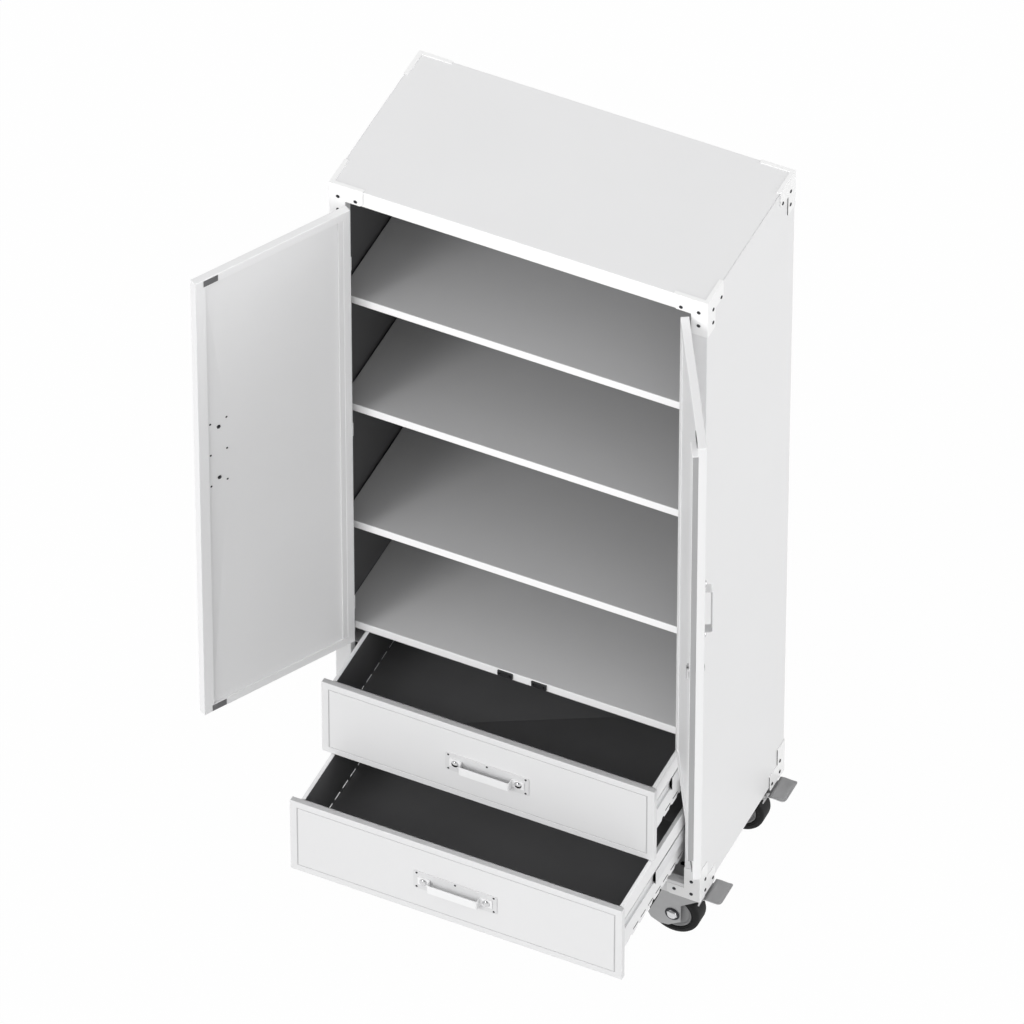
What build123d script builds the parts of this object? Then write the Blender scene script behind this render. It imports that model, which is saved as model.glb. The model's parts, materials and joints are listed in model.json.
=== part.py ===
from build123d import *
from math import cos, radians, sin
import os

# Rolling steel storage cabinet: two doors over two drawers, on four casters
# Millimetres. X is the width, -Y the front, +Z up.
# The origin is the centre of the body's underside, where the caster plates bolt on.

# Driving dimensions of the body
body_width = 900.0
body_depth = 458.0
body_height = 1866.0
sheet = 1.2
side_lift = 12.5
post_width = 38.0
post_return = 22.0
top_rail_height = 42.0
bottom_rail_height = 41.0
rail_return = 34.0
base_inset = 7.0
rim_flange = 18.0
hem_width = 15.0
rear_flange = 25.0
top_side_flange = 20.0
back_margin = 10.0

# Fixed deck and adjustable shelves
deck_gap = 1.0
deck_lip = 22.0
deck_setback = 24.5
shelf_rises = (307.5, 671.5, 1001.0)
shelf_lip = 22.0
shelf_setback = 33.0
shelf_end_gap = 4.3
shelf_rear_gap = 6.0
shelf_hem = 10.0
clip_length = 20.0
clip_leg = 24.0
clip_foot = 12.5
clip_sheet = 1.5
clip_front_inset = 46.0
clip_rear_inset = 40.6

# Corner brackets and their rivets
plate = 2.0
arm_length = 82.0
arm_width = 40.0
top_arm_drop = 100.0
bottom_arm_rise = 98.0
bottom_arm_height = 32.5
side_arm_height = 49.0
top_lip = 8.0
arm_chamfer = 7.0
rivet_head = 4.4
rivet_crown = 2.6
rivet_rise = 2.0
rivet_shank = 2.0
rivet_tail = 3.0
rivet_tail_rise = 1.4
rivet_near = 20.0
rivet_far = 62.0
rivet_side_near = 25.5
rivet_side_far = 67.6
top_rivets_front = (32.5, 71.5)
top_rivets_side = (37.5, 76.5)
bottom_rivets_front = (19.5, 59.0)
bottom_rivets_side = (17.5, 52.5)

# Doors, hung on barrels just in front of the posts
door_open = 120.0
hinge_inset = 1.0
hinge_stand = 3.0
door_top_gap = 4.5
door_meeting_gap = 1.5
door_skin_w = 3.0
door_thick = 19.0
door_near = 2.4
door_rim_hinge = 19.0
door_rim_free = 27.0
door_rim_ends = 22.5
liner_recess = 6.0
liner_lap = 8.0
bead_width = 13.0
bead_rise = 4.0
strike_length = 37.5
strike_height = 17.0
strike_sheet = 1.0
strike_inset = 22.0
strike_edge = 3.0
astragal_width = 50.0
astragal_depth = 13.0
astragal_above_bottom = 60.0
astragal_below_top = 24.0

# Hinges
hinge_height_shares = (0.0927, 0.4981, 0.878)
hinge_length = 40.0
knuckle_radius = 2.8
pin_radius = 1.5
pin_gap = 0.05
knuckle_gap = 0.4
middle_knuckle = 16.0
leaf = 1.2
leaf_depth = 18.0
leaf_start = 3.6

# Magnetic catches
catch_near = 23.0
catch_length = 37.0
catch_depth = 4.2
catch_above_lip = 3.5
lip_catch_height = 15.5
top_catch_depth = 16.0
top_catch_height = 20.0
screw_radius = 2.6
screw_sink = 1.0
screw_rim = 0.4
screw_inset = 6.0

# Lock on the right door
lock_rise = 654.5
lock_from_edge = 13.5
lock_radius = 8.0
lock_collar = 10.0
lock_collar_rise = 1.5
lock_nut = 9.6
lock_nut_height = 3.5
lock_plug = 4.0
plug_gap = 0.05
cam_gap = 0.5
cam_sheet = 2.0
cam_length = 30.0
cam_width = 12.0
plug_inset = 0.6

# Drawers
drawer_height = 219.0
front_gap = 3.0
sill_gap = 2.5
lower_pull = 328.5
upper_pull = 160.5
front_thick = 15.0
front_skin = 1.5
front_return = 12.0
groove_inset = 17.0
groove_width = 3.0
groove_depth = 1.0
box_shift = 8.5
box_inset = 21.3
box_length = 415.0
box_floor = 69.5
box_flange = 9.5
box_wall_trim = 3.5
rim_width = 7.8
rim_skirt = 46.0
apron_height = 62.0
wave_radius = 7.0
wave_pitch = 40.0
wave_count = 10
slot_height = 74.0
slot_length = 27.0
slot_width = 4.0
slot_count = 8
slot_first = 35.5

# Telescopic slides, three members a side
slide_height = 149.0
slide_thick = 12.7
outer_half = 22.5
middle_half = 19.0
inner_half = 15.5
slide_sheet = 1.4
slide_length = 406.0
slide_setback = 24.0
middle_length = 388.0
middle_web_gap = 2.2
slide_mouth = 1.5
inner_lead = 6.0
ball_row = 120.0
ball_inset = 8.0
ball_width = 3.0
ball_gap = 0.3
stop_length = 8.0
stop_gap = 0.5
channel_half = 30.0
channel_sheet = 1.5
channel_leg = 26.0
channel_lead = 1.5
channel_rear_gap = 1.6

# Pull handles
grip_length = 125.0
grip_height = 23.5
grip_reach = 21.5
grip_sheet = 2.0
foot_length = 29.5
handle_plate_length = 206.0
handle_plate_height = 54.0
handle_plate = 2.0
bolt_half_span = 77.5
bolt_shank = 3.0
dome_radius = 9.0
dome_flat = 5.0
dome_rise = 5.5
nut_radius = 5.0
nut_rise = 3.0
pin_rivet_shank = 1.5
pin_rivet_head = 2.6
pin_rivet_crown = 1.6
pin_rivet_rise = 1.2
pin_rivet_x = 95.0
pin_rivet_z = 21.5
drawer_handle_drop = 5.5
door_handle_rise = 790.0
door_handle_from_edge = 56.0

# Casters
caster_inset_x = 50.0
caster_inset_y = 52.5
caster_trail = 27.0
axle_drop = 94.0
wheel_radius = 62.5
tread_width = 50.0
tread_round = 9.0
hub_radius = 44.0
hub_web = 34.0
hub_rim = 5.0
hub_rim_width = 42.0
boss_radius = 15.0
boss_length = 52.4
axle_radius = 6.0
axle_gap = 0.05
axle_head = 13.0
axle_head_rise = 7.0
axle_washer = 18.0
axle_washer_rise = 1.5
fork_half = 26.5
fork_sheet = 2.5
rigid_leg_end = 18.5
mount_plate_x = 82.0
mount_plate_y = 92.0
mount_plate = 3.0
mount_bolt_x = 62.0
mount_bolt_y = 72.0
mount_bolt = 4.0
mount_head = 6.5
mount_head_rise = 2.2
mount_nut = 7.0
mount_nut_rise = 5.3
race_outer = 27.0
race_inner = 12.0
race_drop = 8.0
race_gap = 0.3
crown_top = 14.0
kingpin_radius = 6.0
kingpin_head = 9.0
kingpin_head_rise = 4.0
kingpin_gap = 0.05
crown_left = -50.0
crown_right = 29.0
pedal_x = 39.5
pedal_z = -19.0
pedal_barrel = 4.0
pedal_pin = 2.5
pedal_gap = 0.05
pedal_sheet = 2.0
pedal_half = 36.0
pedal_neck_half = 22.0
pedal_end_gap = 0.4
pedal_lug = 6.5
pedal_reach = 56.0
pedal_round = 9.0
shoe_half = 17.0
shoe_thick = 3.0
shoe_reach_x = -8.0
shoe_reach_z = -36.0

# The fork leg's outline from the axle, in shares of the wheel's radius
fork_leg_shares = ((-0.43, 1.09), (-0.62, 0.54), (-0.96, -0.3), (-0.85, -0.51), (-0.52, -0.67),
                   (-0.17, -0.64), (0.33, -0.29), (0.33, 0.54))
# The foot plate's line from the barrel, in shares of its reach and of the barrel's drop
pedal_line_shares = ((0.01, 0.87), (0.22, 0.44), (0.55, 0.37), (0.8, 0.39), (1.0, 0.16))

# Two places closer than this are the same
same_place = 0.01

# Worked out from the driving dimensions
half_width = body_width / 2
half_depth = body_depth / 2
front_y = -half_depth
skin_top = body_height - sheet
top_rail_z = body_height - top_rail_height
wall_in = half_width - sheet
back_in = half_depth - sheet
back_face = back_in - sheet
post_in = half_width - post_width
rear_in = half_width - rear_flange
drawer_half = post_in - front_gap
lower_drawer_z = bottom_rail_height + sill_gap
upper_drawer_z = lower_drawer_z + drawer_height + front_gap
deck_top = upper_drawer_z + drawer_height + deck_gap + deck_lip
deck_front = front_y + deck_setback
shelf_tops = tuple(deck_top + rise for rise in shelf_rises)
shelf_front = front_y + shelf_setback
door_bottom = upper_drawer_z + drawer_height + front_gap
door_top = top_rail_z - door_top_gap
hinge_x = post_in - hinge_inset
hinge_y = front_y - hinge_stand
hinge_heights = [door_bottom + share * (door_top - door_bottom) for share in hinge_height_shares]
door_far = hinge_x - door_meeting_gap
door_handle_z = door_bottom + door_handle_rise
lock_z = door_bottom + lock_rise
catch_front = deck_front - catch_depth
liner_w = door_skin_w + door_thick - liner_recess
door_face_w = door_skin_w + door_thick
box_half = drawer_half - box_inset
slide_inner_face = box_half
slide_outer_face = box_half + slide_thick
slide_front = front_y + slide_setback
channel_front = slide_front - channel_lead
channel_back = back_face - channel_rear_gap
caster_x = half_width - caster_inset_x
caster_y = half_depth - caster_inset_y
wheel_x = caster_x - caster_trail
wheel_z = -axle_drop
sides = ((-1, "left"), (1, "right"))
ends = ((-1, "front"), (1, "rear"))

os.makedirs("parts", exist_ok=True)


def save(piece, name):
    piece.part.label = name
    export_step(piece.part, f"parts/{name}.step")


def slab(x0, x1, y0, y1, z0, z1, mode=Mode.ADD):
    """A block between six planes, in the frame of the open sub-part."""
    with Locations(((x0 + x1) / 2, (y0 + y1) / 2, (z0 + z1) / 2)):
        Box(abs(x1 - x0), abs(y1 - y0), abs(z1 - z0), mode=mode)


def rod(seat, direction, radius, length, mode=Mode.ADD):
    """A round bar from a seat point along a direction."""
    with Locations(Plane(origin=seat, z_dir=direction)):
        Cylinder(radius, length, align=(Align.CENTER, Align.CENTER, Align.MIN), mode=mode)


def dome(seat, direction, radius, crown, rise):
    """A domed head drawn as a cone frustum on its seat."""
    with Locations(Plane(origin=seat, z_dir=direction)):
        Cone(radius, crown, rise, align=(Align.CENTER, Align.CENTER, Align.MIN))


def near_one(value, target):
    """True where a place lies on a plane, within a hundredth of a millimetre."""
    return abs(value - target) < same_place


def rivet_planes(end):
    """Seats of the bracket rivets: those on the rear face, or the front and side faces."""
    seats = []
    for sx in (-1, 1):
        if end < 0:
            for sy in (-1, 1):
                near = sy * (half_depth - rivet_side_near)
                far = sy * (half_depth - rivet_side_far)
                high, mid = (body_height - drop for drop in top_rivets_side)
                low, up = bottom_rivets_side
                for y, z in ((near, high), (far, high), (near, mid), (near, low), (far, low), (near, up)):
                    seats.append(Plane(origin=(sx * (half_width + plate), y, z), z_dir=(sx, 0, 0)))
        near = sx * (half_width - rivet_near)
        far = sx * (half_width - rivet_far)
        high, mid = (body_height - drop for drop in top_rivets_front)
        low, up = bottom_rivets_front
        for x, z in ((near, high), (far, high), (near, mid), (near, low), (far, low), (near, up)):
            seats.append(Plane(origin=(x, end * (half_depth + plate), z), z_dir=(0, end, 0)))
    return seats


# The rear face's rivets also hold the back panel, so their grip is one sheet longer
rivet_groups = ((rivet_planes(-1), plate + sheet), (rivet_planes(1), plate + sheet * 2))
outward = (Align.CENTER, Align.CENTER, Align.MIN)
inward = (Align.CENTER, Align.CENTER, Align.MAX)


def punch_rivet_holes():
    """Cuts the bracket rivets' shank holes in the open sub-part."""
    for planes, grip in rivet_groups:
        with Locations(*planes):
            Cylinder(rivet_shank, grip, align=inward, mode=Mode.SUBTRACT)


# Side panels: wall, front post with its return, rear flange and bottom hem in one folded sheet
for side, name in sides:
    with BuildPart() as side_panel:
        slab(side * half_width, side * wall_in, front_y, half_depth, side_lift, skin_top)
        slab(side * half_width, side * post_in, front_y, front_y + sheet, side_lift, top_rail_z)
        slab(side * post_in, side * (post_in + sheet), front_y, front_y + post_return,
             side_lift, top_rail_z)
        slab(side * half_width, side * rear_in, back_in, half_depth, side_lift, top_rail_z)
        slab(side * half_width, side * (half_width - hem_width), front_y, half_depth,
             side_lift, side_lift + sheet)
        for end in (-1, 1):
            slab(side * half_width, side * post_in, end * back_in, end * half_depth,
                 top_rail_z, skin_top, Mode.SUBTRACT)
        punch_rivet_holes()
    save(side_panel, f"{name}_side_panel")

# Back panel, behind the posts' rear flanges
with BuildPart() as back_panel:
    slab(-half_width + back_margin, half_width - back_margin, back_face, back_in,
         side_lift + sheet, skin_top - back_margin)
    punch_rivet_holes()
save(back_panel, "back_panel")

# Top panel: a lid with deep front and rear flanges, the front one being the top rail
with BuildPart() as top_panel:
    slab(-half_width, half_width, front_y, half_depth, skin_top, body_height)
    for end in (-1, 1):
        slab(-half_width, half_width, end * back_in, end * half_depth, top_rail_z, skin_top)
        slab(end * wall_in, end * (wall_in - sheet), front_y + sheet, back_face,
             skin_top - top_side_flange, skin_top)
    slab(-post_in - sheet, post_in + sheet, front_y, front_y + rail_return,
         top_rail_z, top_rail_z + sheet)
    punch_rivet_holes()
save(top_panel, "top_panel")

# Bottom rail: the sill under the lower drawer
with BuildPart() as bottom_rail:
    slab(-post_in, post_in, front_y, front_y + sheet, 0, bottom_rail_height)
    slab(-half_width + base_inset, half_width - base_inset, front_y, front_y + sheet, 0, side_lift)
    slab(-post_in, post_in, front_y, front_y + post_return,
         bottom_rail_height - sheet, bottom_rail_height)
    punch_rivet_holes()
save(bottom_rail, "bottom_rail")

# Base pan: the tray that carries the caster plates, its rim under the side panels' hems
base_half = half_width - base_inset
with BuildPart() as base_pan:
    slab(-base_half, base_half, front_y + sheet, half_depth, 0, sheet)
    slab(-base_half, base_half, front_y + sheet, front_y + sheet * 2, 0, side_lift)
    slab(-base_half, base_half, back_in, half_depth, 0, side_lift)
    slab(-rear_in, rear_in, back_in, half_depth, 0, bottom_rail_height)
    for side in (-1, 1):
        slab(side * base_half, side * (base_half - sheet), front_y + sheet, half_depth, 0, side_lift)
        slab(side * base_half, side * (base_half - rim_flange), front_y + sheet, half_depth,
             side_lift - sheet, side_lift)
        for end in (-1, 1):
            for bolt_side in (-1, 1):
                for bolt_end in (-1, 1):
                    hole = (side * caster_x + bolt_side * mount_bolt_x / 2,
                            end * caster_y + bolt_end * mount_bolt_y / 2, 0)
                    rod(hole, (0, 0, 1), mount_bolt, sheet, Mode.SUBTRACT)
    punch_rivet_holes()
save(base_pan, "base_pan")

# Deck: the fixed floor of the cupboard, over the drawers
with BuildPart() as deck:
    slab(-wall_in, wall_in, deck_front, back_face, deck_top - sheet, deck_top)
    slab(-wall_in, wall_in, deck_front, deck_front + sheet, deck_top - deck_lip, deck_top)
    slab(-wall_in, wall_in, back_face - sheet, back_face, deck_top - deck_lip, deck_top)
    for side in (-1, 1):
        slab(side * wall_in, side * (wall_in - sheet), deck_front, back_face,
             deck_top - deck_lip, deck_top)
save(deck, "deck")

# Adjustable shelves: trays with a lip all round and a hem under the front lip
shelf_half = wall_in - shelf_end_gap
shelf_back = back_face - shelf_rear_gap
with BuildPart() as adjustable_shelves:
    for top in shelf_tops:
        slab(-shelf_half, shelf_half, shelf_front, shelf_back, top - sheet, top)
        slab(-shelf_half, shelf_half, shelf_front, shelf_front + sheet, top - shelf_lip, top)
        slab(-shelf_half, shelf_half, shelf_front, shelf_front + shelf_hem,
             top - shelf_lip, top - shelf_lip + sheet)
        slab(-shelf_half, shelf_half, shelf_back - sheet, shelf_back, top - shelf_lip, top)
        for side in (-1, 1):
            slab(side * shelf_half, side * (shelf_half - sheet), shelf_front, shelf_back,
                 top - shelf_lip, top)
save(adjustable_shelves, "adjustable_shelves")

# Shelf clips: small angles on the side walls, four under each shelf
with BuildPart() as shelf_clips:
    for top in shelf_tops:
        seat = top - shelf_lip
        for side in (-1, 1):
            for y in (shelf_front + clip_front_inset, shelf_back - clip_rear_inset):
                slab(side * wall_in, side * (wall_in - clip_sheet), y - clip_length / 2,
                     y + clip_length / 2, seat - clip_leg, seat)
                slab(side * wall_in, side * (wall_in - clip_foot), y - clip_length / 2,
                     y + clip_length / 2, seat - clip_sheet, seat)
save(shelf_clips, "shelf_clips")

# Corner brackets: eight folded plates, one round each corner of the body
with BuildPart() as corner_brackets:
    for sx in (-1, 1):
        for sy in (-1, 1):
            outer_x = sx * (half_width + plate)
            outer_y = sy * (half_depth + plate)
            arm_x = sx * (half_width + plate - arm_length)
            arm_y = sy * (half_depth + plate - arm_length)
            upright_x = sx * (half_width + plate - arm_width)
            upright_y = sy * (half_depth + plate - arm_width)
            face_y = sy * half_depth
            flank_x = sx * half_width
            slab(outer_x, arm_x, outer_y, face_y, top_rail_z, body_height)
            slab(outer_x, upright_x, outer_y, face_y, body_height - top_arm_drop, body_height)
            slab(outer_x, flank_x, outer_y, arm_y, top_rail_z - plate, body_height)
            slab(outer_x, flank_x, outer_y, upright_y, body_height - top_arm_drop, body_height)
            slab(outer_x, arm_x, outer_y, sy * (half_depth - top_lip), body_height,
                 body_height + plate)
            slab(outer_x, sx * (half_width - top_lip), outer_y, arm_y, body_height,
                 body_height + plate)
            slab(outer_x, arm_x, outer_y, face_y, 0, bottom_arm_height)
            slab(outer_x, upright_x, outer_y, face_y, 0, bottom_arm_rise)
            slab(outer_x, flank_x, outer_y, arm_y, 0, side_arm_height)
            slab(outer_x, flank_x, outer_y, upright_y, 0, bottom_arm_rise)
    outer_corners = corner_brackets.edges().filter_by(Axis.Z).filter_by(
        lambda edge: abs(edge.center().X) > half_width + sheet
        and abs(edge.center().Y) > half_depth + sheet)
    fillet(outer_corners, plate)
    arm_feet = (0, top_rail_z, top_rail_z - plate)
    face_ends = corner_brackets.edges().filter_by(Axis.Y).filter_by(
        lambda edge: near_one(abs(edge.center().X), half_width + plate - arm_length)
        and any(near_one(edge.center().Z, z) for z in arm_feet))
    flank_ends = corner_brackets.edges().filter_by(Axis.X).filter_by(
        lambda edge: near_one(abs(edge.center().Y), half_depth + plate - arm_length)
        and any(near_one(edge.center().Z, z) for z in arm_feet))
    chamfer(face_ends + flank_ends, arm_chamfer)
    punch_rivet_holes()
save(corner_brackets, "corner_brackets")

# Bracket rivets: domed head outside, upset tail inside
with BuildPart() as bracket_rivets:
    for planes, grip in rivet_groups:
        with Locations(*planes):
            Cone(rivet_head, rivet_crown, rivet_rise, align=outward)
            Cylinder(rivet_shank, grip, align=inward)
        with Locations(*[plane.offset(-grip) for plane in planes]):
            Cylinder(rivet_tail, rivet_tail_rise, align=inward)
save(bracket_rivets, "bracket_rivets")

# Magnetic catches: two on the deck's lip, two under the top rail, each with two screws
with BuildPart() as magnet_catches:
    for side in (-1, 1):
        near = side * catch_near
        far = side * (catch_near + catch_length)
        lip_z = deck_top - deck_lip + catch_above_lip
        slab(near, far, catch_front, deck_front, lip_z, lip_z + lip_catch_height)
        slab(near, far, catch_front, catch_front + top_catch_depth,
             top_rail_z - top_catch_height, top_rail_z)
        heights = (lip_z + lip_catch_height / 2, top_rail_z - top_catch_height / 2)
        for x in (near + side * screw_inset, far - side * screw_inset):
            for z in heights:
                rod((x, catch_front, z), (0, 1, 0), screw_radius, screw_sink, Mode.SUBTRACT)
                rod((x, catch_front + screw_rim, z), (0, 1, 0), screw_radius - screw_rim,
                    screw_sink)
save(magnet_catches, "magnet_catches")

# Frame half of each hinge: leaf on the post, two knuckles with the pin in them
with BuildPart() as frame_hinges:
    for side in (-1, 1):
        leaf_face = side * post_in
        for z in hinge_heights:
            low = z - hinge_length / 2
            high = z + hinge_length / 2
            slab(leaf_face, leaf_face - side * leaf, hinge_y + leaf_start,
                 hinge_y + leaf_start + leaf_depth, low, high)
            for start, stop in ((low, z - middle_knuckle / 2), (z + middle_knuckle / 2, high)):
                rod((side * hinge_x, hinge_y, start), (0, 0, 1), knuckle_radius, stop - start)
                slab(leaf_face, leaf_face - side * leaf, hinge_y, hinge_y + leaf_start, start, stop)
            rod((side * hinge_x, hinge_y, low), (0, 0, 1), pin_radius, hinge_length)
save(frame_hinges, "frame_hinges")


def door_plane(side):
    """The open door's own frame: X along the door, Y from outer face to inner face."""
    turn = radians(door_open) * side
    return Plane(origin=(side * hinge_x, hinge_y, 0), x_dir=(cos(turn), sin(turn), 0), z_dir=(0, 0, 1))


def door_slab(side, u0, u1, w0, w1, z0, z1, mode=Mode.ADD):
    """A block in a door's frame, u counted from the hinge axis towards the free edge."""
    slab(-side * u0, -side * u1, w0, w1, z0, z1, mode)


# Door handles and locks stand at these places in the doors' frames
handle_u = door_far - door_handle_from_edge
lock_u = door_far - lock_from_edge


def punch_door_handle(side, w0, w1):
    """Shank holes for one door handle's two bolts and six small rivets."""
    for z in (-bolt_half_span, bolt_half_span):
        rod((-side * handle_u, w0, door_handle_z + z), (0, 1, 0), bolt_shank, w1 - w0, Mode.SUBTRACT)
    for z in (-pin_rivet_x, 0, pin_rivet_x):
        for u in (-pin_rivet_z, pin_rivet_z):
            rod((-side * (handle_u + u), w0, door_handle_z + z), (0, 1, 0), pin_rivet_shank,
                w1 - w0, Mode.SUBTRACT)


for side, name in sides:
    frame = door_plane(side)

    # Door pan: outer skin, four edges and the return flange round the inner face
    with BuildPart(frame) as door_pan:
        door_slab(side, door_near, door_far, door_skin_w, door_face_w, door_bottom, door_top)
        door_slab(side, door_near + sheet, door_far - sheet, door_skin_w + sheet,
                  door_face_w - sheet, door_bottom + sheet, door_top - sheet, Mode.SUBTRACT)
        door_slab(side, door_near + door_rim_hinge, door_far - door_rim_free, door_face_w - sheet,
                  door_face_w, door_bottom + door_rim_ends, door_top - door_rim_ends, Mode.SUBTRACT)
        punch_door_handle(side, door_skin_w, door_skin_w + sheet)
        if side > 0:
            rod((-side * lock_u, door_skin_w, lock_z), (0, 1, 0), lock_radius, door_thick,
                Mode.SUBTRACT)
    save(door_pan, f"{name}_door_pan")

    # Door liner: the recessed inner panel with a bead by the hinge, lapped under the pan's flange
    near = door_near + door_rim_hinge
    far = door_far - door_rim_free
    low = door_bottom + door_rim_ends
    high = door_top - door_rim_ends
    with BuildPart(frame) as door_liner:
        door_slab(side, near - liner_lap, far + liner_lap, liner_w, door_face_w - sheet,
                  low - liner_lap, high + liner_lap)
        door_slab(side, near, far, liner_w + sheet, door_face_w - sheet, low, high, Mode.SUBTRACT)
        for u0, u1, z0, z1 in (
                (near - liner_lap, near - sheet, low - liner_lap, high + liner_lap),
                (far + sheet, far + liner_lap, low - liner_lap, high + liner_lap),
                (near - liner_lap, far + liner_lap, low - liner_lap, low - sheet),
                (near - liner_lap, far + liner_lap, high + sheet, high + liner_lap)):
            door_slab(side, u0, u1, liner_w, door_face_w - sheet * 2, z0, z1, Mode.SUBTRACT)
        door_slab(side, near, near + bead_width, liner_w + sheet, liner_w + sheet + bead_rise, low, high)
        door_slab(side, near + sheet, near + bead_width - sheet, liner_w, liner_w + bead_rise,
                  low + sheet, high - sheet, Mode.SUBTRACT)
        punch_door_handle(side, liner_w, liner_w + sheet)
        if side > 0:
            rod((-side * lock_u, liner_w, lock_z), (0, 1, 0), lock_radius, liner_recess,
                Mode.SUBTRACT)
    save(door_liner, f"{name}_door_liner")

    # Strike plates that meet the magnetic catches
    strike_u = door_far - strike_inset
    with BuildPart(frame) as door_strikes:
        for z in (door_bottom + strike_edge, door_top - strike_edge - strike_height):
            door_slab(side, strike_u - strike_length, strike_u, door_face_w,
                      door_face_w + strike_sheet, z, z + strike_height)
    save(door_strikes, f"{name}_door_strikes")

    # Door half of each hinge: leaf on the door's edge and one knuckle on the pin
    with BuildPart(frame) as door_hinges:
        for z in hinge_heights:
            low = z - middle_knuckle / 2 + knuckle_gap
            high = z + middle_knuckle / 2 - knuckle_gap
            door_slab(side, door_near - leaf, door_near, leaf_start, leaf_start + leaf_depth,
                      z - hinge_length / 2, z + hinge_length / 2)
            door_slab(side, door_near - leaf, door_near, 0, leaf_start, low, high)
            rod((0, 0, low), (0, 0, 1), knuckle_radius, high - low)
            rod((0, 0, z - hinge_length / 2), (0, 0, 1), pin_radius + pin_gap, hinge_length,
                Mode.SUBTRACT)
    save(door_hinges, f"{name}_door_hinges")

    # Door handle: back plate and bent grip, upright near the free edge
    with BuildPart(frame) as door_handle:
        top = door_skin_w
        half = handle_plate_length / 2
        door_slab(side, handle_u - handle_plate_height / 2, handle_u + handle_plate_height / 2,
                  top - handle_plate, top, door_handle_z - half, door_handle_z + half)
        seat = top - handle_plate
        foot = seat - grip_sheet
        reach = top - grip_reach
        u0 = handle_u - grip_height / 2
        u1 = handle_u + grip_height / 2
        half = grip_length / 2
        door_slab(side, u0, u1, reach, reach + grip_sheet, door_handle_z - half, door_handle_z + half)
        for end in (-1, 1):
            door_slab(side, u0, u1, reach, seat, door_handle_z + end * half,
                      door_handle_z + end * (half - grip_sheet))
            door_slab(side, u0, u1, foot, seat, door_handle_z + end * (half - grip_sheet),
                      door_handle_z + end * (half + foot_length))
        punch_door_handle(side, foot, top)
    save(door_handle, f"{name}_door_handle")

    # Door handle bolts and rivets, through both skins
    with BuildPart(frame) as door_handle_bolts:
        for z in (-bolt_half_span, bolt_half_span):
            seat = (-side * handle_u, door_skin_w - handle_plate - grip_sheet, door_handle_z + z)
            tail = (-side * handle_u, liner_w + sheet, door_handle_z + z)
            dome(seat, (0, -1, 0), dome_radius, dome_flat, dome_rise)
            rod(seat, (0, 1, 0), bolt_shank, tail[1] - seat[1])
            rod(tail, (0, 1, 0), nut_radius, nut_rise)
        for z in (-pin_rivet_x, 0, pin_rivet_x):
            for u in (-pin_rivet_z, pin_rivet_z):
                seat = (-side * (handle_u + u), door_skin_w - handle_plate, door_handle_z + z)
                tail = (-side * (handle_u + u), liner_w + sheet, door_handle_z + z)
                dome(seat, (0, -1, 0), pin_rivet_head, pin_rivet_crown, pin_rivet_rise)
                rod(seat, (0, 1, 0), pin_rivet_shank, tail[1] - seat[1])
                rod(tail, (0, 1, 0), pin_rivet_head, pin_rivet_rise)
    save(door_handle_bolts, f"{name}_door_handle_bolts")

# Edge channel: the stiff closing strip inside the right door's free edge
right_frame = door_plane(1)
channel_w = door_face_w + astragal_depth
with BuildPart(right_frame) as edge_channel:
    near = door_far - astragal_width
    low = door_bottom + astragal_above_bottom
    high = door_top - astragal_below_top
    door_slab(1, near, door_far, door_face_w, channel_w, low, high)
    door_slab(1, near + sheet, door_far - sheet, door_face_w, channel_w - sheet,
              low + sheet, high - sheet, Mode.SUBTRACT)
    rod((-lock_u, door_face_w, lock_z), (0, 1, 0), lock_radius, astragal_depth, Mode.SUBTRACT)
save(edge_channel, "edge_channel")

# Lock cylinder: collar on the outer face, barrel through the door, ring nut on the channel
with BuildPart(right_frame) as lock_cylinder:
    rod((-lock_u, door_skin_w, lock_z), (0, -1, 0), lock_collar, lock_collar_rise)
    rod((-lock_u, door_skin_w, lock_z), (0, 1, 0), lock_radius, channel_w - door_skin_w)
    rod((-lock_u, channel_w, lock_z), (0, 1, 0), lock_nut, lock_nut_height)
    rod((-lock_u, door_skin_w - lock_collar_rise, lock_z), (0, 1, 0), lock_plug + plug_gap,
        channel_w + lock_nut_height - door_skin_w + lock_collar_rise, Mode.SUBTRACT)
save(lock_cylinder, "lock_cylinder")

# Lock cam with its plug, hanging down when unlocked
with BuildPart(right_frame) as lock_cam:
    plug_face = door_skin_w - lock_collar_rise + plug_inset
    cam_face = channel_w + lock_nut_height + cam_gap
    rod((-lock_u, plug_face, lock_z), (0, 1, 0), lock_plug, cam_face - plug_face)
    rod((-lock_u, cam_face, lock_z), (0, 1, 0), cam_width / 2, cam_sheet)
    door_slab(1, lock_u - cam_width / 2, lock_u + cam_width / 2, cam_face, cam_face + cam_sheet,
              lock_z - cam_length, lock_z)
save(lock_cam, "lock_cam")


def punch_drawer_handle(z, y0, y1):
    """Shank holes for one drawer handle's two bolts and six small rivets."""
    for x in (-bolt_half_span, bolt_half_span):
        rod((x, y0, z), (0, 1, 0), bolt_shank, y1 - y0, Mode.SUBTRACT)
    for x in (-pin_rivet_x, 0, pin_rivet_x):
        for dz in (-pin_rivet_z, pin_rivet_z):
            rod((x, y0, z + dz), (0, 1, 0), pin_rivet_shank, y1 - y0, Mode.SUBTRACT)


def beside_box(side, away):
    """X of a place counted outward from the drawer box's middle, which is off the front's middle."""
    return box_shift + side * away


def channel_section(side, web, depth, half, y0, y1, z):
    """A C section along Y, its web at one place beside the box and its mouth a depth away."""
    start = beside_box(side, web)
    skin = beside_box(side, web + slide_sheet * (1 if depth > 0 else -1))
    slab(start, skin, y0, y1, z - half, z + half)
    for end in (-1, 1):
        slab(start, beside_box(side, web + depth), y0, y1, z + end * half,
             z + end * (half - slide_sheet))


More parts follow.
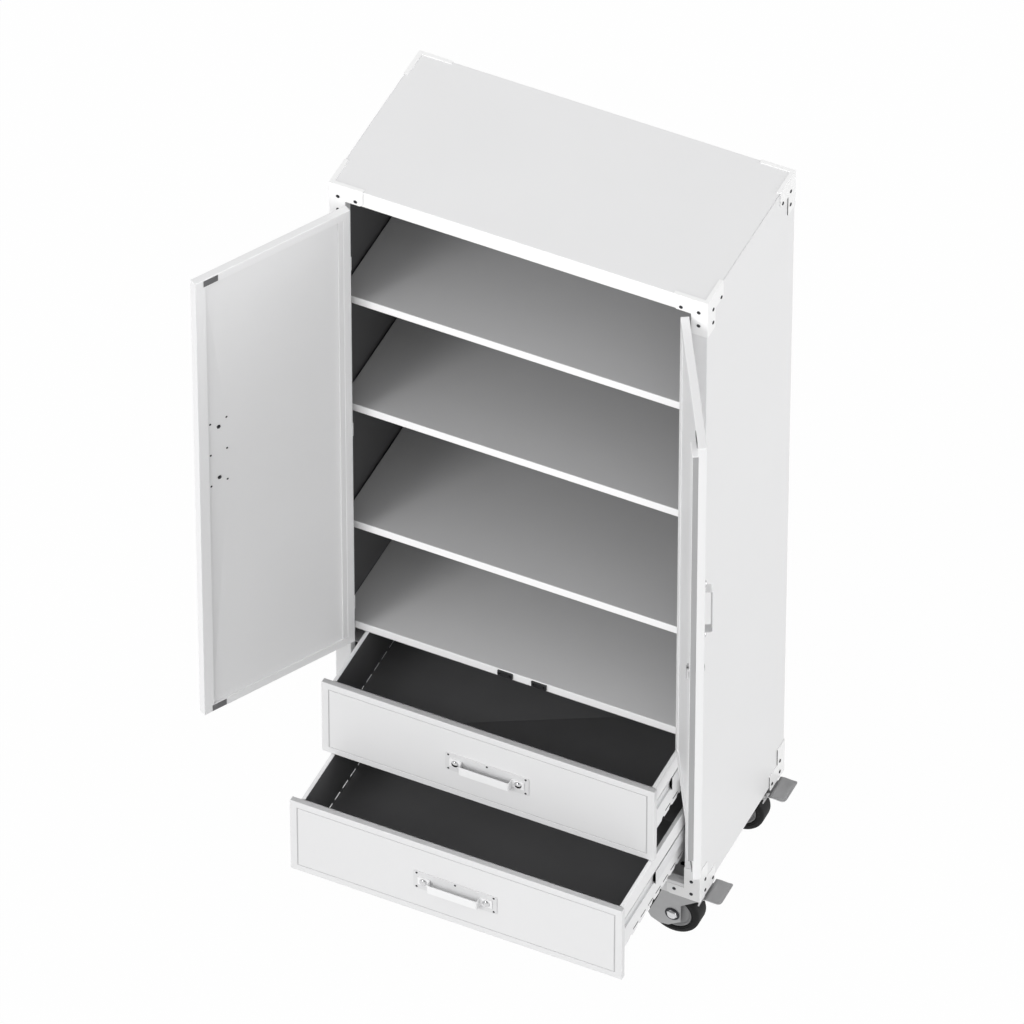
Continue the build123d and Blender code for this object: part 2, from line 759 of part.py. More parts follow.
for name, base, pull in (("lower", lower_drawer_z, lower_pull), ("upper", upper_drawer_z, upper_pull)):
    face = front_y - pull
    wall = face + front_thick
    rear = wall + box_length
    top = base + drawer_height
    handle_z = base + drawer_height / 2 - drawer_handle_drop
    slide_z = base + slide_height

    # Drawer front: a shallow pan with a pressed groove round its face
    with BuildPart() as drawer_front:
        slab(-drawer_half, drawer_half, face, wall, base, top)
        slab(-drawer_half + front_skin, drawer_half - front_skin, face + front_skin,
             wall - front_skin, base + front_skin, top - front_skin, Mode.SUBTRACT)
        slab(-drawer_half + front_return, drawer_half - front_return, wall - front_skin, wall,
             base + front_return, top - front_return, Mode.SUBTRACT)
        with BuildSketch(Plane(origin=(0, face, (base + top) / 2), x_dir=(1, 0, 0), z_dir=(0, -1, 0))):
            Rectangle((drawer_half - groove_inset) * 2, drawer_height - groove_inset * 2)
            Rectangle((drawer_half - groove_inset - groove_width) * 2,
                      drawer_height - (groove_inset + groove_width) * 2, mode=Mode.SUBTRACT)
        extrude(amount=-groove_depth, mode=Mode.SUBTRACT)
        punch_drawer_handle(handle_z, face, face + front_skin)
    save(drawer_front, f"{name}_drawer_front")

    # Drawer box: tray with aprons under its sides, rims folded outward and down over the slides
    with BuildPart() as drawer_box:
        floor = base + box_floor
        slab(beside_box(-1, box_half), beside_box(1, box_half), wall, rear, floor, top)
        slab(beside_box(-1, box_half - sheet), beside_box(1, box_half - sheet), wall + sheet,
             rear - sheet, floor + sheet, top, Mode.SUBTRACT)
        slab(beside_box(-1, box_half), beside_box(1, box_half), rear - box_flange, rear,
             top - sheet, top)
        slab(-drawer_half + box_wall_trim, drawer_half - box_wall_trim, wall, wall + sheet,
             base + box_wall_trim, top - box_wall_trim)
        for side in (-1, 1):
            outer = beside_box(side, box_half)
            inner = beside_box(side, box_half - sheet)
            rim = beside_box(side, box_half + rim_width)
            slab(outer, inner, wall, rear, base + apron_height, floor)
            slab(inner, rim, wall, rear, top - sheet, top)
            slab(rim, beside_box(side, box_half + rim_width - sheet), wall, rear, top - rim_skirt, top)
            for index in range(wave_count):
                y = wall + wave_pitch * (index + 1 / 2)
                rod((inner, y, base + apron_height), (side, 0, 0), wave_radius, sheet, Mode.SUBTRACT)
            for index in range(slot_count):
                y = rear - slot_first - index * wave_pitch
                slab(outer, inner, y - slot_length, y, base + slot_height,
                     base + slot_height + slot_width, Mode.SUBTRACT)
    save(drawer_box, f"{name}_drawer_box")

    # Inner slide members, fixed to the box
    with BuildPart() as inner_slides:
        start = slide_front - inner_lead - pull
        for side in (-1, 1):
            channel_section(side, slide_inner_face, slide_outer_face - slide_inner_face
                            - slide_sheet * 2 - middle_web_gap * 2, inner_half, start,
                            start + slide_length, slide_z)
    save(inner_slides, f"{name}_inner_slides")

    # Middle slide members, half-way out, with end stops and the strips that stand for ball rows
    with BuildPart() as middle_slides:
        start = slide_front - pull / 2
        web = slide_outer_face - slide_sheet - middle_web_gap
        for side in (-1, 1):
            channel_section(side, web, slide_inner_face + slide_mouth - web, middle_half, start,
                            start + middle_length, slide_z)
            slab(beside_box(side, web - slide_sheet),
                 beside_box(side, slide_inner_face + slide_sheet + stop_gap), start, start + stop_length,
                 slide_z - inner_half + slide_sheet + stop_gap,
                 slide_z + inner_half - slide_sheet - stop_gap)
            race = (beside_box(side, web - ball_width), beside_box(side, web - ball_width * 2))
            rear_row = start + middle_length - ball_inset - ball_row
            front_row = start + ball_inset
            for end in (-1, 1):
                slab(*race, rear_row, rear_row + ball_row, slide_z + end * middle_half,
                     slide_z + end * (outer_half - slide_sheet - ball_gap))
                slab(*race, front_row, front_row + ball_row,
                     slide_z + end * (middle_half - slide_sheet),
                     slide_z + end * (inner_half + ball_gap))
    save(middle_slides, f"{name}_middle_slides")

    # Drawer handle: back plate and bent grip
    with BuildPart() as drawer_handle:
        slab(-handle_plate_length / 2, handle_plate_length / 2, face - handle_plate, face,
             handle_z - handle_plate_height / 2, handle_z + handle_plate_height / 2)
        seat = face - handle_plate
        foot = seat - grip_sheet
        reach = face - grip_reach
        z0 = handle_z - grip_height / 2
        z1 = handle_z + grip_height / 2
        half = grip_length / 2
        slab(-half, half, reach, reach + grip_sheet, z0, z1)
        for side in (-1, 1):
            slab(side * half, side * (half - grip_sheet), reach, seat, z0, z1)
            slab(side * (half - grip_sheet), side * (half + foot_length), foot, seat, z0, z1)
        punch_drawer_handle(handle_z, foot, face)
    save(drawer_handle, f"{name}_drawer_handle")

    # Drawer handle bolts and rivets, nuts and tails inside the hollow front
    with BuildPart() as drawer_handle_bolts:
        for x in (-bolt_half_span, bolt_half_span):
            seat = (x, face - handle_plate - grip_sheet, handle_z)
            tail = (x, face + front_skin, handle_z)
            dome(seat, (0, -1, 0), dome_radius, dome_flat, dome_rise)
            rod(seat, (0, 1, 0), bolt_shank, tail[1] - seat[1])
            rod(tail, (0, 1, 0), nut_radius, nut_rise)
        for x in (-pin_rivet_x, 0, pin_rivet_x):
            for dz in (-pin_rivet_z, pin_rivet_z):
                seat = (x, face - handle_plate, handle_z + dz)
                tail = (x, face + front_skin, handle_z + dz)
                dome(seat, (0, -1, 0), pin_rivet_head, pin_rivet_crown, pin_rivet_rise)
                rod(seat, (0, 1, 0), pin_rivet_shank, tail[1] - seat[1])
                rod(tail, (0, 1, 0), pin_rivet_head, pin_rivet_rise)
    save(drawer_handle_bolts, f"{name}_drawer_handle_bolts")

# Outer slide members, fixed to the carrier channels
with BuildPart() as outer_slides:
    for base in (lower_drawer_z, upper_drawer_z):
        for side in (-1, 1):
            channel_section(side, slide_outer_face, slide_inner_face + slide_mouth
                            - slide_outer_face, outer_half, slide_front,
                            slide_front + slide_length, base + slide_height)
save(outer_slides, "outer_slides")

# Slide carriers: hat channels along the side walls
with BuildPart() as slide_carriers:
    for base in (lower_drawer_z, upper_drawer_z):
        z = base + slide_height
        for side in (-1, 1):
            web = beside_box(side, slide_outer_face)
            slab(web, beside_box(side, slide_outer_face + channel_sheet), channel_front, channel_back,
                 z - channel_half, z + channel_half)
            slab(web, side * wall_in, channel_front, channel_back,
                 z + channel_half - channel_sheet, z + channel_half)
            slab(side * wall_in, side * (wall_in - channel_sheet), channel_front, channel_back,
                 z + channel_half - channel_leg, z + channel_half)
save(slide_carriers, "slide_carriers")

# Caster plates, the swivel pair with race boss and kingpin
with BuildPart() as caster_plates:
    for side in (-1, 1):
        for end in (-1, 1):
            x = side * caster_x
            y = end * caster_y
            slab(x - mount_plate_x / 2, x + mount_plate_x / 2, y - mount_plate_y / 2,
                 y + mount_plate_y / 2, -mount_plate, 0)
            if side > 0:
                head_z = -crown_top - fork_sheet - race_gap
                rod((x, y, -mount_plate), (0, 0, -1), race_outer, race_drop - mount_plate)
                rod((x, y, -mount_plate), (0, 0, -1), kingpin_radius, -head_z - mount_plate)
                rod((x, y, head_z), (0, 0, -1), kingpin_head, kingpin_head_rise)
            for bolt_side in (-1, 1):
                for bolt_end in (-1, 1):
                    hole = (x + bolt_side * mount_bolt_x / 2, y + bolt_end * mount_bolt_y / 2,
                            -mount_plate)
                    rod(hole, (0, 0, 1), mount_bolt, mount_plate, Mode.SUBTRACT)
save(caster_plates, "caster_plates")

# Caster bolts: four to a plate, low round heads below, nuts on the base pan
with BuildPart() as caster_bolts:
    for side in (-1, 1):
        for end in (-1, 1):
            for bolt_side in (-1, 1):
                for bolt_end in (-1, 1):
                    x = side * caster_x + bolt_side * mount_bolt_x / 2
                    y = end * caster_y + bolt_end * mount_bolt_y / 2
                    rod((x, y, -mount_plate), (0, 0, -1), mount_head, mount_head_rise)
                    with BuildSketch(Plane.XY.offset(sheet)):
                        with Locations((x, y)):
                            RegularPolygon(mount_nut, 6)
                    extrude(amount=mount_nut_rise)
                    rod((x, y, -mount_plate), (0, 0, 1), mount_bolt, mount_plate + sheet)
save(caster_bolts, "caster_bolts")

# Rigid forks under the left end
with BuildPart() as rigid_forks:
    for end in (-1, 1):
        y = end * caster_y
        x = -caster_x
        slab(x - race_outer, x + race_outer, y - fork_half - fork_sheet, y + fork_half + fork_sheet,
             -mount_plate - fork_sheet, -mount_plate)
        for leg in (-1, 1):
            leg_y = y + leg * (fork_half + fork_sheet / 2) + fork_sheet / 2
            with BuildSketch(Plane(origin=(x, leg_y, 0), x_dir=(1, 0, 0), z_dir=(0, -1, 0))):
                with BuildLine():
                    Polyline((-race_outer, -mount_plate), (race_outer, -mount_plate),
                             (rigid_leg_end, wheel_z), (-rigid_leg_end, wheel_z), close=True)
                make_face()
                with Locations((0, wheel_z)):
                    Circle(rigid_leg_end)
                    Circle(axle_radius, mode=Mode.SUBTRACT)
            extrude(amount=fork_sheet)
save(rigid_forks, "rigid_forks")


def axle_bolt(x, y):
    """One axle bolt across a fork, with washers, head and nut."""
    outer = fork_half + fork_sheet
    rod((x, y - outer, wheel_z), (0, 1, 0), axle_radius, outer * 2)
    for end in (-1, 1):
        rod((x, y + end * outer, wheel_z), (0, end, 0), axle_washer, axle_washer_rise)
        face = Plane(origin=(x, y + end * (outer + axle_washer_rise), wheel_z),
                     x_dir=(1, 0, 0), z_dir=(0, end, 0))
        with BuildSketch(face, mode=Mode.PRIVATE) as hexagon:
            RegularPolygon(axle_head, 6)
        extrude(to_extrude=hexagon.sketch, amount=axle_head_rise)


with BuildPart() as rigid_axle_bolts:
    for end in (-1, 1):
        axle_bolt(-caster_x, end * caster_y)
save(rigid_axle_bolts, "rigid_axle_bolts")

leg_points = [(wheel_x + x * wheel_radius, wheel_z + z * wheel_radius) for x, z in fork_leg_shares]
lug_x = caster_x + pedal_x + pedal_lug

for end, name in ends:
    yc = end * caster_y

    # Swivel fork: crown on the race ring, two broad legs with the brake housing's outline
    with BuildPart() as swivel_fork:
        rod((caster_x, yc, -race_drop - race_gap), (0, 0, -1), race_outer,
            crown_top - race_drop - race_gap)
        slab(caster_x + crown_left, caster_x + crown_right, yc - fork_half - fork_sheet,
             yc + fork_half + fork_sheet, -crown_top - fork_sheet, -crown_top)
        for leg in (-1, 1):
            leg_y = yc + leg * (fork_half + fork_sheet / 2) + fork_sheet / 2
            with BuildSketch(Plane(origin=(0, leg_y, 0), x_dir=(1, 0, 0), z_dir=(0, -1, 0))):
                with BuildLine():
                    Polyline((caster_x + crown_left, -crown_top), *leg_points,
                             (lug_x, pedal_z - pedal_barrel / 2), (lug_x, -crown_top), close=True)
                make_face()
                with Locations((wheel_x, wheel_z)):
                    Circle(axle_radius, mode=Mode.SUBTRACT)
                with Locations((caster_x + pedal_x, pedal_z)):
                    Circle(pedal_pin + pedal_gap, mode=Mode.SUBTRACT)
            extrude(amount=fork_sheet)
        rod((caster_x, yc, 0), (0, 0, -1), kingpin_radius + kingpin_gap, crown_top + fork_sheet,
            Mode.SUBTRACT)
        rod((caster_x, yc, 0), (0, 0, -1), race_inner, crown_top, Mode.SUBTRACT)
    save(swivel_fork, f"{name}_swivel_fork")

    with BuildPart() as fork_axle:
        axle_bolt(wheel_x, yc)
    save(fork_axle, f"{name}_axle_bolt")

    # Brake pedal: barrel on trunnions, curved foot plate outside and shoe towards the tyre
    with BuildPart() as brake_pedal:
        px = caster_x + pedal_x
        half = fork_half - pedal_end_gap
        rod((px, yc - half, pedal_z), (0, 1, 0), pedal_barrel, half * 2)
        rod((px, yc - fork_half - fork_sheet, pedal_z), (0, 1, 0), pedal_pin,
            (fork_half + fork_sheet) * 2)
        line = [(px + x * pedal_reach, z * pedal_z) for x, z in pedal_line_shares]
        upper = [(x, z + pedal_sheet / 2) for x, z in line]
        lower = [(x, z - pedal_sheet / 2) for x, z in line]
        with BuildSketch(Plane(origin=(0, yc, 0), x_dir=(1, 0, 0), z_dir=(0, -1, 0))):
            with BuildLine():
                Spline(*upper)
                Spline(*lower)
                Line(upper[0], lower[0])
                Line(upper[-1], lower[-1])
            make_face()
        extrude(amount=pedal_half, both=True)
        with BuildSketch(Plane.XY):
            with Locations((px, yc)):
                RectangleRounded(pedal_reach * 2, pedal_half * 2, pedal_round)
        extrude(amount=pedal_z * 2, mode=Mode.INTERSECT)
        for edge in (-1, 1):
            slab(px - pedal_barrel * 2, half_width + plate / 2, yc + edge * pedal_neck_half,
                 yc + edge * (pedal_half + plate), pedal_z - pedal_barrel * 2, 0, Mode.SUBTRACT)
        rod((px, yc - half, pedal_z), (0, 1, 0), pedal_barrel, half * 2)
        rod((px, yc - fork_half - fork_sheet, pedal_z), (0, 1, 0), pedal_pin,
            (fork_half + fork_sheet) * 2)
        with BuildSketch(Plane(origin=(0, yc, 0), x_dir=(1, 0, 0), z_dir=(0, -1, 0))):
            with BuildLine():
                Polyline((px - shoe_thick / 2, pedal_z), (px + shoe_thick / 2, pedal_z),
                         (px + shoe_reach_x + shoe_thick / 2, pedal_z + shoe_reach_z),
                         (px + shoe_reach_x - shoe_thick / 2, pedal_z + shoe_reach_z), close=True)
            make_face()
        extrude(amount=shoe_half, both=True)
    save(brake_pedal, f"{name}_brake_pedal")

# Wheels: hub and tyre at each corner
for side, side_name in sides:
    for end, end_name in ends:
        xc = wheel_x if side > 0 else -caster_x
        yc = end * caster_y
        with BuildPart() as hub:
            with BuildSketch(Plane(origin=(xc, yc, wheel_z), x_dir=(1, 0, 0), z_dir=(0, -1, 0))):
                Circle(hub_radius)
                Circle(hub_radius - hub_rim, mode=Mode.SUBTRACT)
            extrude(amount=hub_rim_width / 2, both=True)
            with BuildSketch(Plane(origin=(xc, yc, wheel_z), x_dir=(1, 0, 0), z_dir=(0, -1, 0))):
                Circle(hub_radius - hub_rim / 2)
            extrude(amount=hub_web / 2, both=True)
            rod((xc, yc - boss_length / 2, wheel_z), (0, 1, 0), boss_radius, boss_length)
            rod((xc, yc - boss_length / 2, wheel_z), (0, 1, 0), axle_radius + axle_gap, boss_length,
                Mode.SUBTRACT)
        save(hub, f"{end_name}_{side_name}_hub")

        with BuildPart() as tyre:
            rod((xc, yc - tread_width / 2, wheel_z), (0, 1, 0), wheel_radius, tread_width)
            rims = tyre.edges().filter_by(GeomType.CIRCLE)
            fillet(rims, tread_round)
            rod((xc, yc - tread_width / 2, wheel_z), (0, 1, 0), hub_radius, tread_width, Mode.SUBTRACT)
        save(tyre, f"{end_name}_{side_name}_tyre")
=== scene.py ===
import json
import math
import bmesh
import bpy
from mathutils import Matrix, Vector


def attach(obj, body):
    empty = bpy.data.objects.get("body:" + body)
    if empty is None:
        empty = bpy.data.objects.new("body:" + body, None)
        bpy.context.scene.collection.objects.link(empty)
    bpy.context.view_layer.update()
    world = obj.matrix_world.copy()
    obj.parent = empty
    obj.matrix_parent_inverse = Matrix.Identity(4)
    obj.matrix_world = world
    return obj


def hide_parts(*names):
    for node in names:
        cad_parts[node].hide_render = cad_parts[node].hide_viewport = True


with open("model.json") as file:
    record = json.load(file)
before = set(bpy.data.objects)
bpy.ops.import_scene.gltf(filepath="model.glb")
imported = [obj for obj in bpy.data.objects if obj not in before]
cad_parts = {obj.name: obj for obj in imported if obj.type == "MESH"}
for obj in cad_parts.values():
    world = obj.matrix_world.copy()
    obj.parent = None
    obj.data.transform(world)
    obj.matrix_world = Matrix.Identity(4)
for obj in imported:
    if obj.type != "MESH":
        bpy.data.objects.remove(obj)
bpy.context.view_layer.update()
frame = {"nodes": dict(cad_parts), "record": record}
nodes = frame["nodes"]
bodyOf = {node: body for body, members in frame["record"]["behaviour"]["bodies"].items() for node in members}
slotOf = {row["node"]: row["material_slot"] for row in frame["record"]["subparts"]}
print("frame loaded:", len(nodes), "nodes")

scene = bpy.context.scene
scene.view_settings.view_transform = "Standard"
millimetre = 0.001

# Camera, at the photograph's viewing angle
cameraSetup = {"place": (9.213017, -20.007619, 22.7815), "turnDegrees": (45.11, 0.0, 25.01), "lens": 492.19,
               "sensor": 36.0, "near": 1.0, "far": 200.0}


def turnRadians(degrees):
    return [math.radians(angle) for angle in degrees]


def addCamera(setup):
    data = bpy.data.cameras.new("viewCamera")
    data.lens = setup["lens"]
    data.sensor_width = setup["sensor"]
    data.clip_start = setup["near"]
    data.clip_end = setup["far"]
    camera = bpy.data.objects.new("viewCamera", data)
    camera.location = setup["place"]
    camera.rotation_euler = turnRadians(setup["turnDegrees"])
    scene.collection.objects.link(camera)
    scene.camera = camera


addCamera(cameraSetup)
print("camera placed")


# Small helpers for node trees
def addNode(tree, kind, **settings):
    node = tree.nodes.new(kind)
    for key, value in settings.items():
        if key in node.inputs:
            node.inputs[key].default_value = value
        else:
            setattr(node, key, value)
    return node


def join(tree, source, output, target, socket):
    tree.links.new(source.outputs[output], target.inputs[socket])


def addMath(tree, operation, source, output, value):
    node = addNode(tree, "ShaderNodeMath", operation=operation)
    node.inputs[1].default_value = value
    join(tree, source, output, node, 0)
    return node


def addRange(tree, source, output, ends, before=(0.0, 1.0)):
    node = addNode(tree, "ShaderNodeMapRange")
    for name, value in zip(("From Min", "From Max", "To Min", "To Max"), (*before, *ends)):
        node.inputs[name].default_value = value
    join(tree, source, output, node, "Value")
    return node


def addMix(tree, factor, output, first, second):
    mix = addNode(tree, "ShaderNodeMixShader")
    join(tree, factor, output, mix, 0)
    join(tree, first, 0, mix, 1)
    join(tree, second, 0, mix, 2)
    return mix


# Studio light: a dome that is brighter towards the front, soft lamps from the right and the front, a white floor
studio = {"dome": 0.68, "frontGlow": 1.35, "background": 1.0, "mirroredSky": 0.15, "floorColour": 0.55,
          "floorShare": 0.985, "floorSize": 60.0, "floorHeight": -0.1566,
          "lamps": {"sideLamp": {"strength": 1.22, "turn": (78.0, 0.0, 108.0), "softness": 40.0},
                    "frontLamp": {"strength": 0.95, "turn": (58.0, 0.0, -22.0), "softness": 24.0}}}


def buildWorld(setup):
    world = bpy.data.worlds.new("studioDome")
    scene.world = world
    world.use_nodes = True
    tree = world.node_tree
    tree.nodes.clear()
    output = addNode(tree, "ShaderNodeOutputWorld")
    coordinates = addNode(tree, "ShaderNodeTexCoord")
    split = addNode(tree, "ShaderNodeSeparateXYZ")
    join(tree, coordinates, "Generated", split, "Vector")
    towardsFront = addMath(tree, "MULTIPLY", split, "Y", -setup["frontGlow"])
    frontOnly = addMath(tree, "MAXIMUM", towardsFront, 0, 0.0)
    level = addMath(tree, "ADD", frontOnly, 0, setup["dome"])
    lit = addNode(tree, "ShaderNodeBackground")
    join(tree, level, 0, lit, "Strength")
    height = addRange(tree, split, "Z", (setup["background"], setup["mirroredSky"]))
    path = addNode(tree, "ShaderNodeLightPath")
    mirrored = addNode(tree, "ShaderNodeMix", data_type="FLOAT")
    mirrored.inputs["A"].default_value = setup["background"]
    join(tree, path, "Is Glossy Ray", mirrored, "Factor")
    join(tree, height, "Result", mirrored, "B")
    plain = addNode(tree, "ShaderNodeBackground")
    join(tree, mirrored, "Result", plain, "Strength")
    join(tree, addMix(tree, seenRay(tree), 0, lit, plain), 0, output, "Surface")


# Camera, glossy and transmission rays see the plain background, all others the lit dome
def seenRay(tree):
    path = addNode(tree, "ShaderNodeLightPath")
    first = addNode(tree, "ShaderNodeMath", operation="MAXIMUM")
    join(tree, path, "Is Camera Ray", first, 0)
    join(tree, path, "Is Glossy Ray", first, 1)
    second = addNode(tree, "ShaderNodeMath", operation="MAXIMUM")
    join(tree, first, 0, second, 0)
    join(tree, path, "Is Transmission Ray", second, 1)
    return second


def buildFloor(setup):
    material = bpy.data.materials.new("studioFloor")
    material.use_nodes = True
    tree = material.node_tree
    tree.nodes.clear()
    output = addNode(tree, "ShaderNodeOutputMaterial")
    grey = setup["floorColour"]
    matte = addNode(tree, "ShaderNodeBsdfDiffuse", Color=(grey, grey, grey, 1))
    white = addNode(tree, "ShaderNodeEmission", Strength=setup["background"])
    share = addMath(tree, "MULTIPLY", seenRay(tree), 0, setup["floorShare"])
    top = addMix(tree, share, 0, matte, white)
    clear = addNode(tree, "ShaderNodeBsdfTransparent")
    side = addNode(tree, "ShaderNodeNewGeometry")
    join(tree, addMix(tree, side, "Backfacing", top, clear), 0, output, "Surface")
    half = setup["floorSize"] / 2
    mesh = bpy.data.meshes.new("studioFloor")
    around = ((-half, -half), (half, -half), (half, half), (-half, half))
    corners = [(x, y, setup["floorHeight"]) for x, y in around]
    mesh.from_pydata(corners, [], [(0, 1, 2, 3)])
    mesh.materials.append(material)
    floor = bpy.data.objects.new("studioFloor", mesh)
    scene.collection.objects.link(floor)


def addLamp(name, setup):
    data = bpy.data.lights.new(name, "SUN")
    data.energy = setup["strength"]
    data.angle = math.radians(setup["softness"])
    lamp = bpy.data.objects.new(name, data)
    lamp.rotation_euler = turnRadians(setup["turn"])
    scene.collection.objects.link(lamp)


buildWorld(studio)
buildFloor(studio)
for name, setup in studio["lamps"].items():
    addLamp(name, setup)
print("studio built")

# Finishes. peel, grain and cloud are in ripples per metre, depths in metres
surface = {"metallic": 0.0, "rough": 0.5, "roughSpan": 0.06, "specular": 0.5, "peel": 0.0, "peelDepth": 0.0,
           "grain": 0.0, "grainStretch": None, "grainDepth": 0.0, "cloud": 3.0, "cloudSpan": 0.03, "speck": None}
noise = {"cloudDetail": 4.0, "cloudRoughness": 0.6, "cloudFrom": (0.3, 0.7), "speckDetail": 2.0,
         "rippleDetail": 3.0, "rippleRoughness": 0.55}


def mixColour(tree, factor, first, second, **settings):
    mix = addNode(tree, "ShaderNodeMix", data_type="RGBA", **settings)
    for socket, value in (("Factor", factor), (6, first), (7, second)):
        if isinstance(value, bpy.types.NodeSocket):
            tree.links.new(value, mix.inputs[socket])
        else:
            mix.inputs[socket].default_value = value
    return mix.outputs[2]


def addRipple(tree, place, scale, depth, stretch, before):
    ripple = addNode(tree, "ShaderNodeTexNoise", Scale=scale, Detail=noise["rippleDetail"],
                     Roughness=noise["rippleRoughness"])
    if stretch:
        mapping = addNode(tree, "ShaderNodeMapping", Scale=stretch)
        join(tree, place, "Object", mapping, "Vector")
        join(tree, mapping, "Vector", ripple, "Vector")
    else:
        join(tree, place, "Object", ripple, "Vector")
    bump = addNode(tree, "ShaderNodeBump", Strength=1.0, Distance=depth)
    join(tree, ripple, "Fac", bump, "Height")
    if before:
        join(tree, before, "Normal", bump, "Normal")
    return bump


def finish(name, colour, base=surface, **changes):
    look = {**surface, **base, **changes}
    material = bpy.data.materials.new(name)
    material.use_nodes = True
    tree = material.node_tree
    shader = tree.nodes["Principled BSDF"]
    shader.inputs["Metallic"].default_value = look["metallic"]
    shader.inputs["Specular IOR Level"].default_value = look["specular"]
    place = addNode(tree, "ShaderNodeTexCoord")
    clouds = addNode(tree, "ShaderNodeTexNoise", Scale=look["cloud"], Detail=noise["cloudDetail"],
                     Roughness=noise["cloudRoughness"])
    join(tree, place, "Object", clouds, "Vector")
    shade = addRange(tree, clouds, "Fac", (1.0 - look["cloudSpan"], 1.0), noise["cloudFrom"])
    last = mixColour(tree, 1.0, (*colour, 1), shade.outputs["Result"], blend_type="MULTIPLY")
    speck = look["speck"]
    if speck:
        dots = addNode(tree, "ShaderNodeTexNoise", Scale=speck["scale"], Detail=noise["speckDetail"])
        join(tree, place, "Object", dots, "Vector")
        spread = addRange(tree, dots, "Fac", (0.0, 1.0), speck["from"])
        last = mixColour(tree, spread.outputs["Result"], last, (*speck["colour"], 1))
    tree.links.new(last, shader.inputs["Base Color"])
    smooth = addRange(tree, clouds, "Fac", (look["rough"] - look["roughSpan"], look["rough"] + look["roughSpan"]))
    join(tree, smooth, "Result", shader, "Roughness")
    normal = None
    if look["peelDepth"]:
        normal = addRipple(tree, place, look["peel"], look["peelDepth"], None, normal)
    if look["grainDepth"]:
        normal = addRipple(tree, place, look["grain"], look["grainDepth"], look["grainStretch"], normal)
    if normal:
        join(tree, normal, "Normal", shader, "Normal")
    return material


powder = {"rough": 0.42, "specular": 0.4, "peel": 420.0, "peelDepth": 0.00006, "cloud": 2.2}
edging = {"specular": 0.3, "peel": 900.0, "peelDepth": 0.00003, "cloud": 30.0, "cloudSpan": 0.12}
pulls = {"rough": 0.42, "specular": 0.4, "peel": 500.0, "peelDepth": 0.00005, "cloud": 9.0}
finishes = {
    "white_coat": finish("whitePowderCoat", (0.80, 0.80, 0.805), powder, cloudSpan=0.02),
    "bracket_coat": finish("bracketCoatAndFrontLight", (0.90, 0.90, 0.90), rough=0.36, specular=0.45, peel=480.0,
                           peelDepth=0.00005, cloud=6.0, cloudSpan=0.02),
    "drawer_coat": finish("charcoalPowderCoat", (0.125, 0.125, 0.128), rough=0.5, specular=0.3, peel=600.0,
                          peelDepth=0.00008, cloud=5.0, cloudSpan=0.12),
    "dark_rivet": finish("blackenedRivet", (0.05, 0.05, 0.055), metallic=0.8, rough=0.38, peel=1500.0,
                         peelDepth=0.00004, cloud=60.0, cloudSpan=0.3),
    "zinc_plate": finish("zincPlate", (0.47, 0.47, 0.475), metallic=0.6, rough=0.52, peel=900.0, peelDepth=0.00004,
                         grain=260.0, grainStretch=(1.0, 0.2, 1.0), grainDepth=0.00003, cloud=22.0, cloudSpan=0.12),
    "slide_steel": finish("drawnSlideSteel", (0.78, 0.782, 0.79), metallic=0.35, rough=0.4, grain=900.0,
                          grainStretch=(1.0, 0.02, 1.0), grainDepth=0.00003, cloud=14.0, cloudSpan=0.10),
    "bright_fastener": finish("brightFastener", (0.72, 0.72, 0.73), metallic=1.0, rough=0.1, roughSpan=0.04,
                              peel=1200.0, peelDepth=0.00002, cloud=80.0, cloudSpan=0.15),
    "dark_strike": finish("dullStrikeSteel", (0.22, 0.22, 0.225), metallic=0.9, rough=0.45, grain=700.0,
                          grainStretch=(0.1, 1.0, 1.0), grainDepth=0.00003, cloud=40.0, cloudSpan=0.2),
    "catch_case": finish("catchCasePlastic", (0.028, 0.028, 0.03), rough=0.45, peel=2500.0, peelDepth=0.00004,
                         cloud=60.0, cloudSpan=0.2),
    "hub_plastic": finish("hubPlastic", (0.3, 0.3, 0.305), rough=0.48, peel=1400.0, peelDepth=0.00004, cloud=30.0,
                          cloudSpan=0.12),
    "tyre_rubber": finish("tyreRubber", (0.013, 0.013, 0.0135), rough=0.68, specular=0.25, peel=900.0,
                          peelDepth=0.0001, cloud=35.0, cloudSpan=0.25,
                          speck={"scale": 240.0, "from": (0.62, 0.8), "colour": (0.05, 0.05, 0.05)}),
}

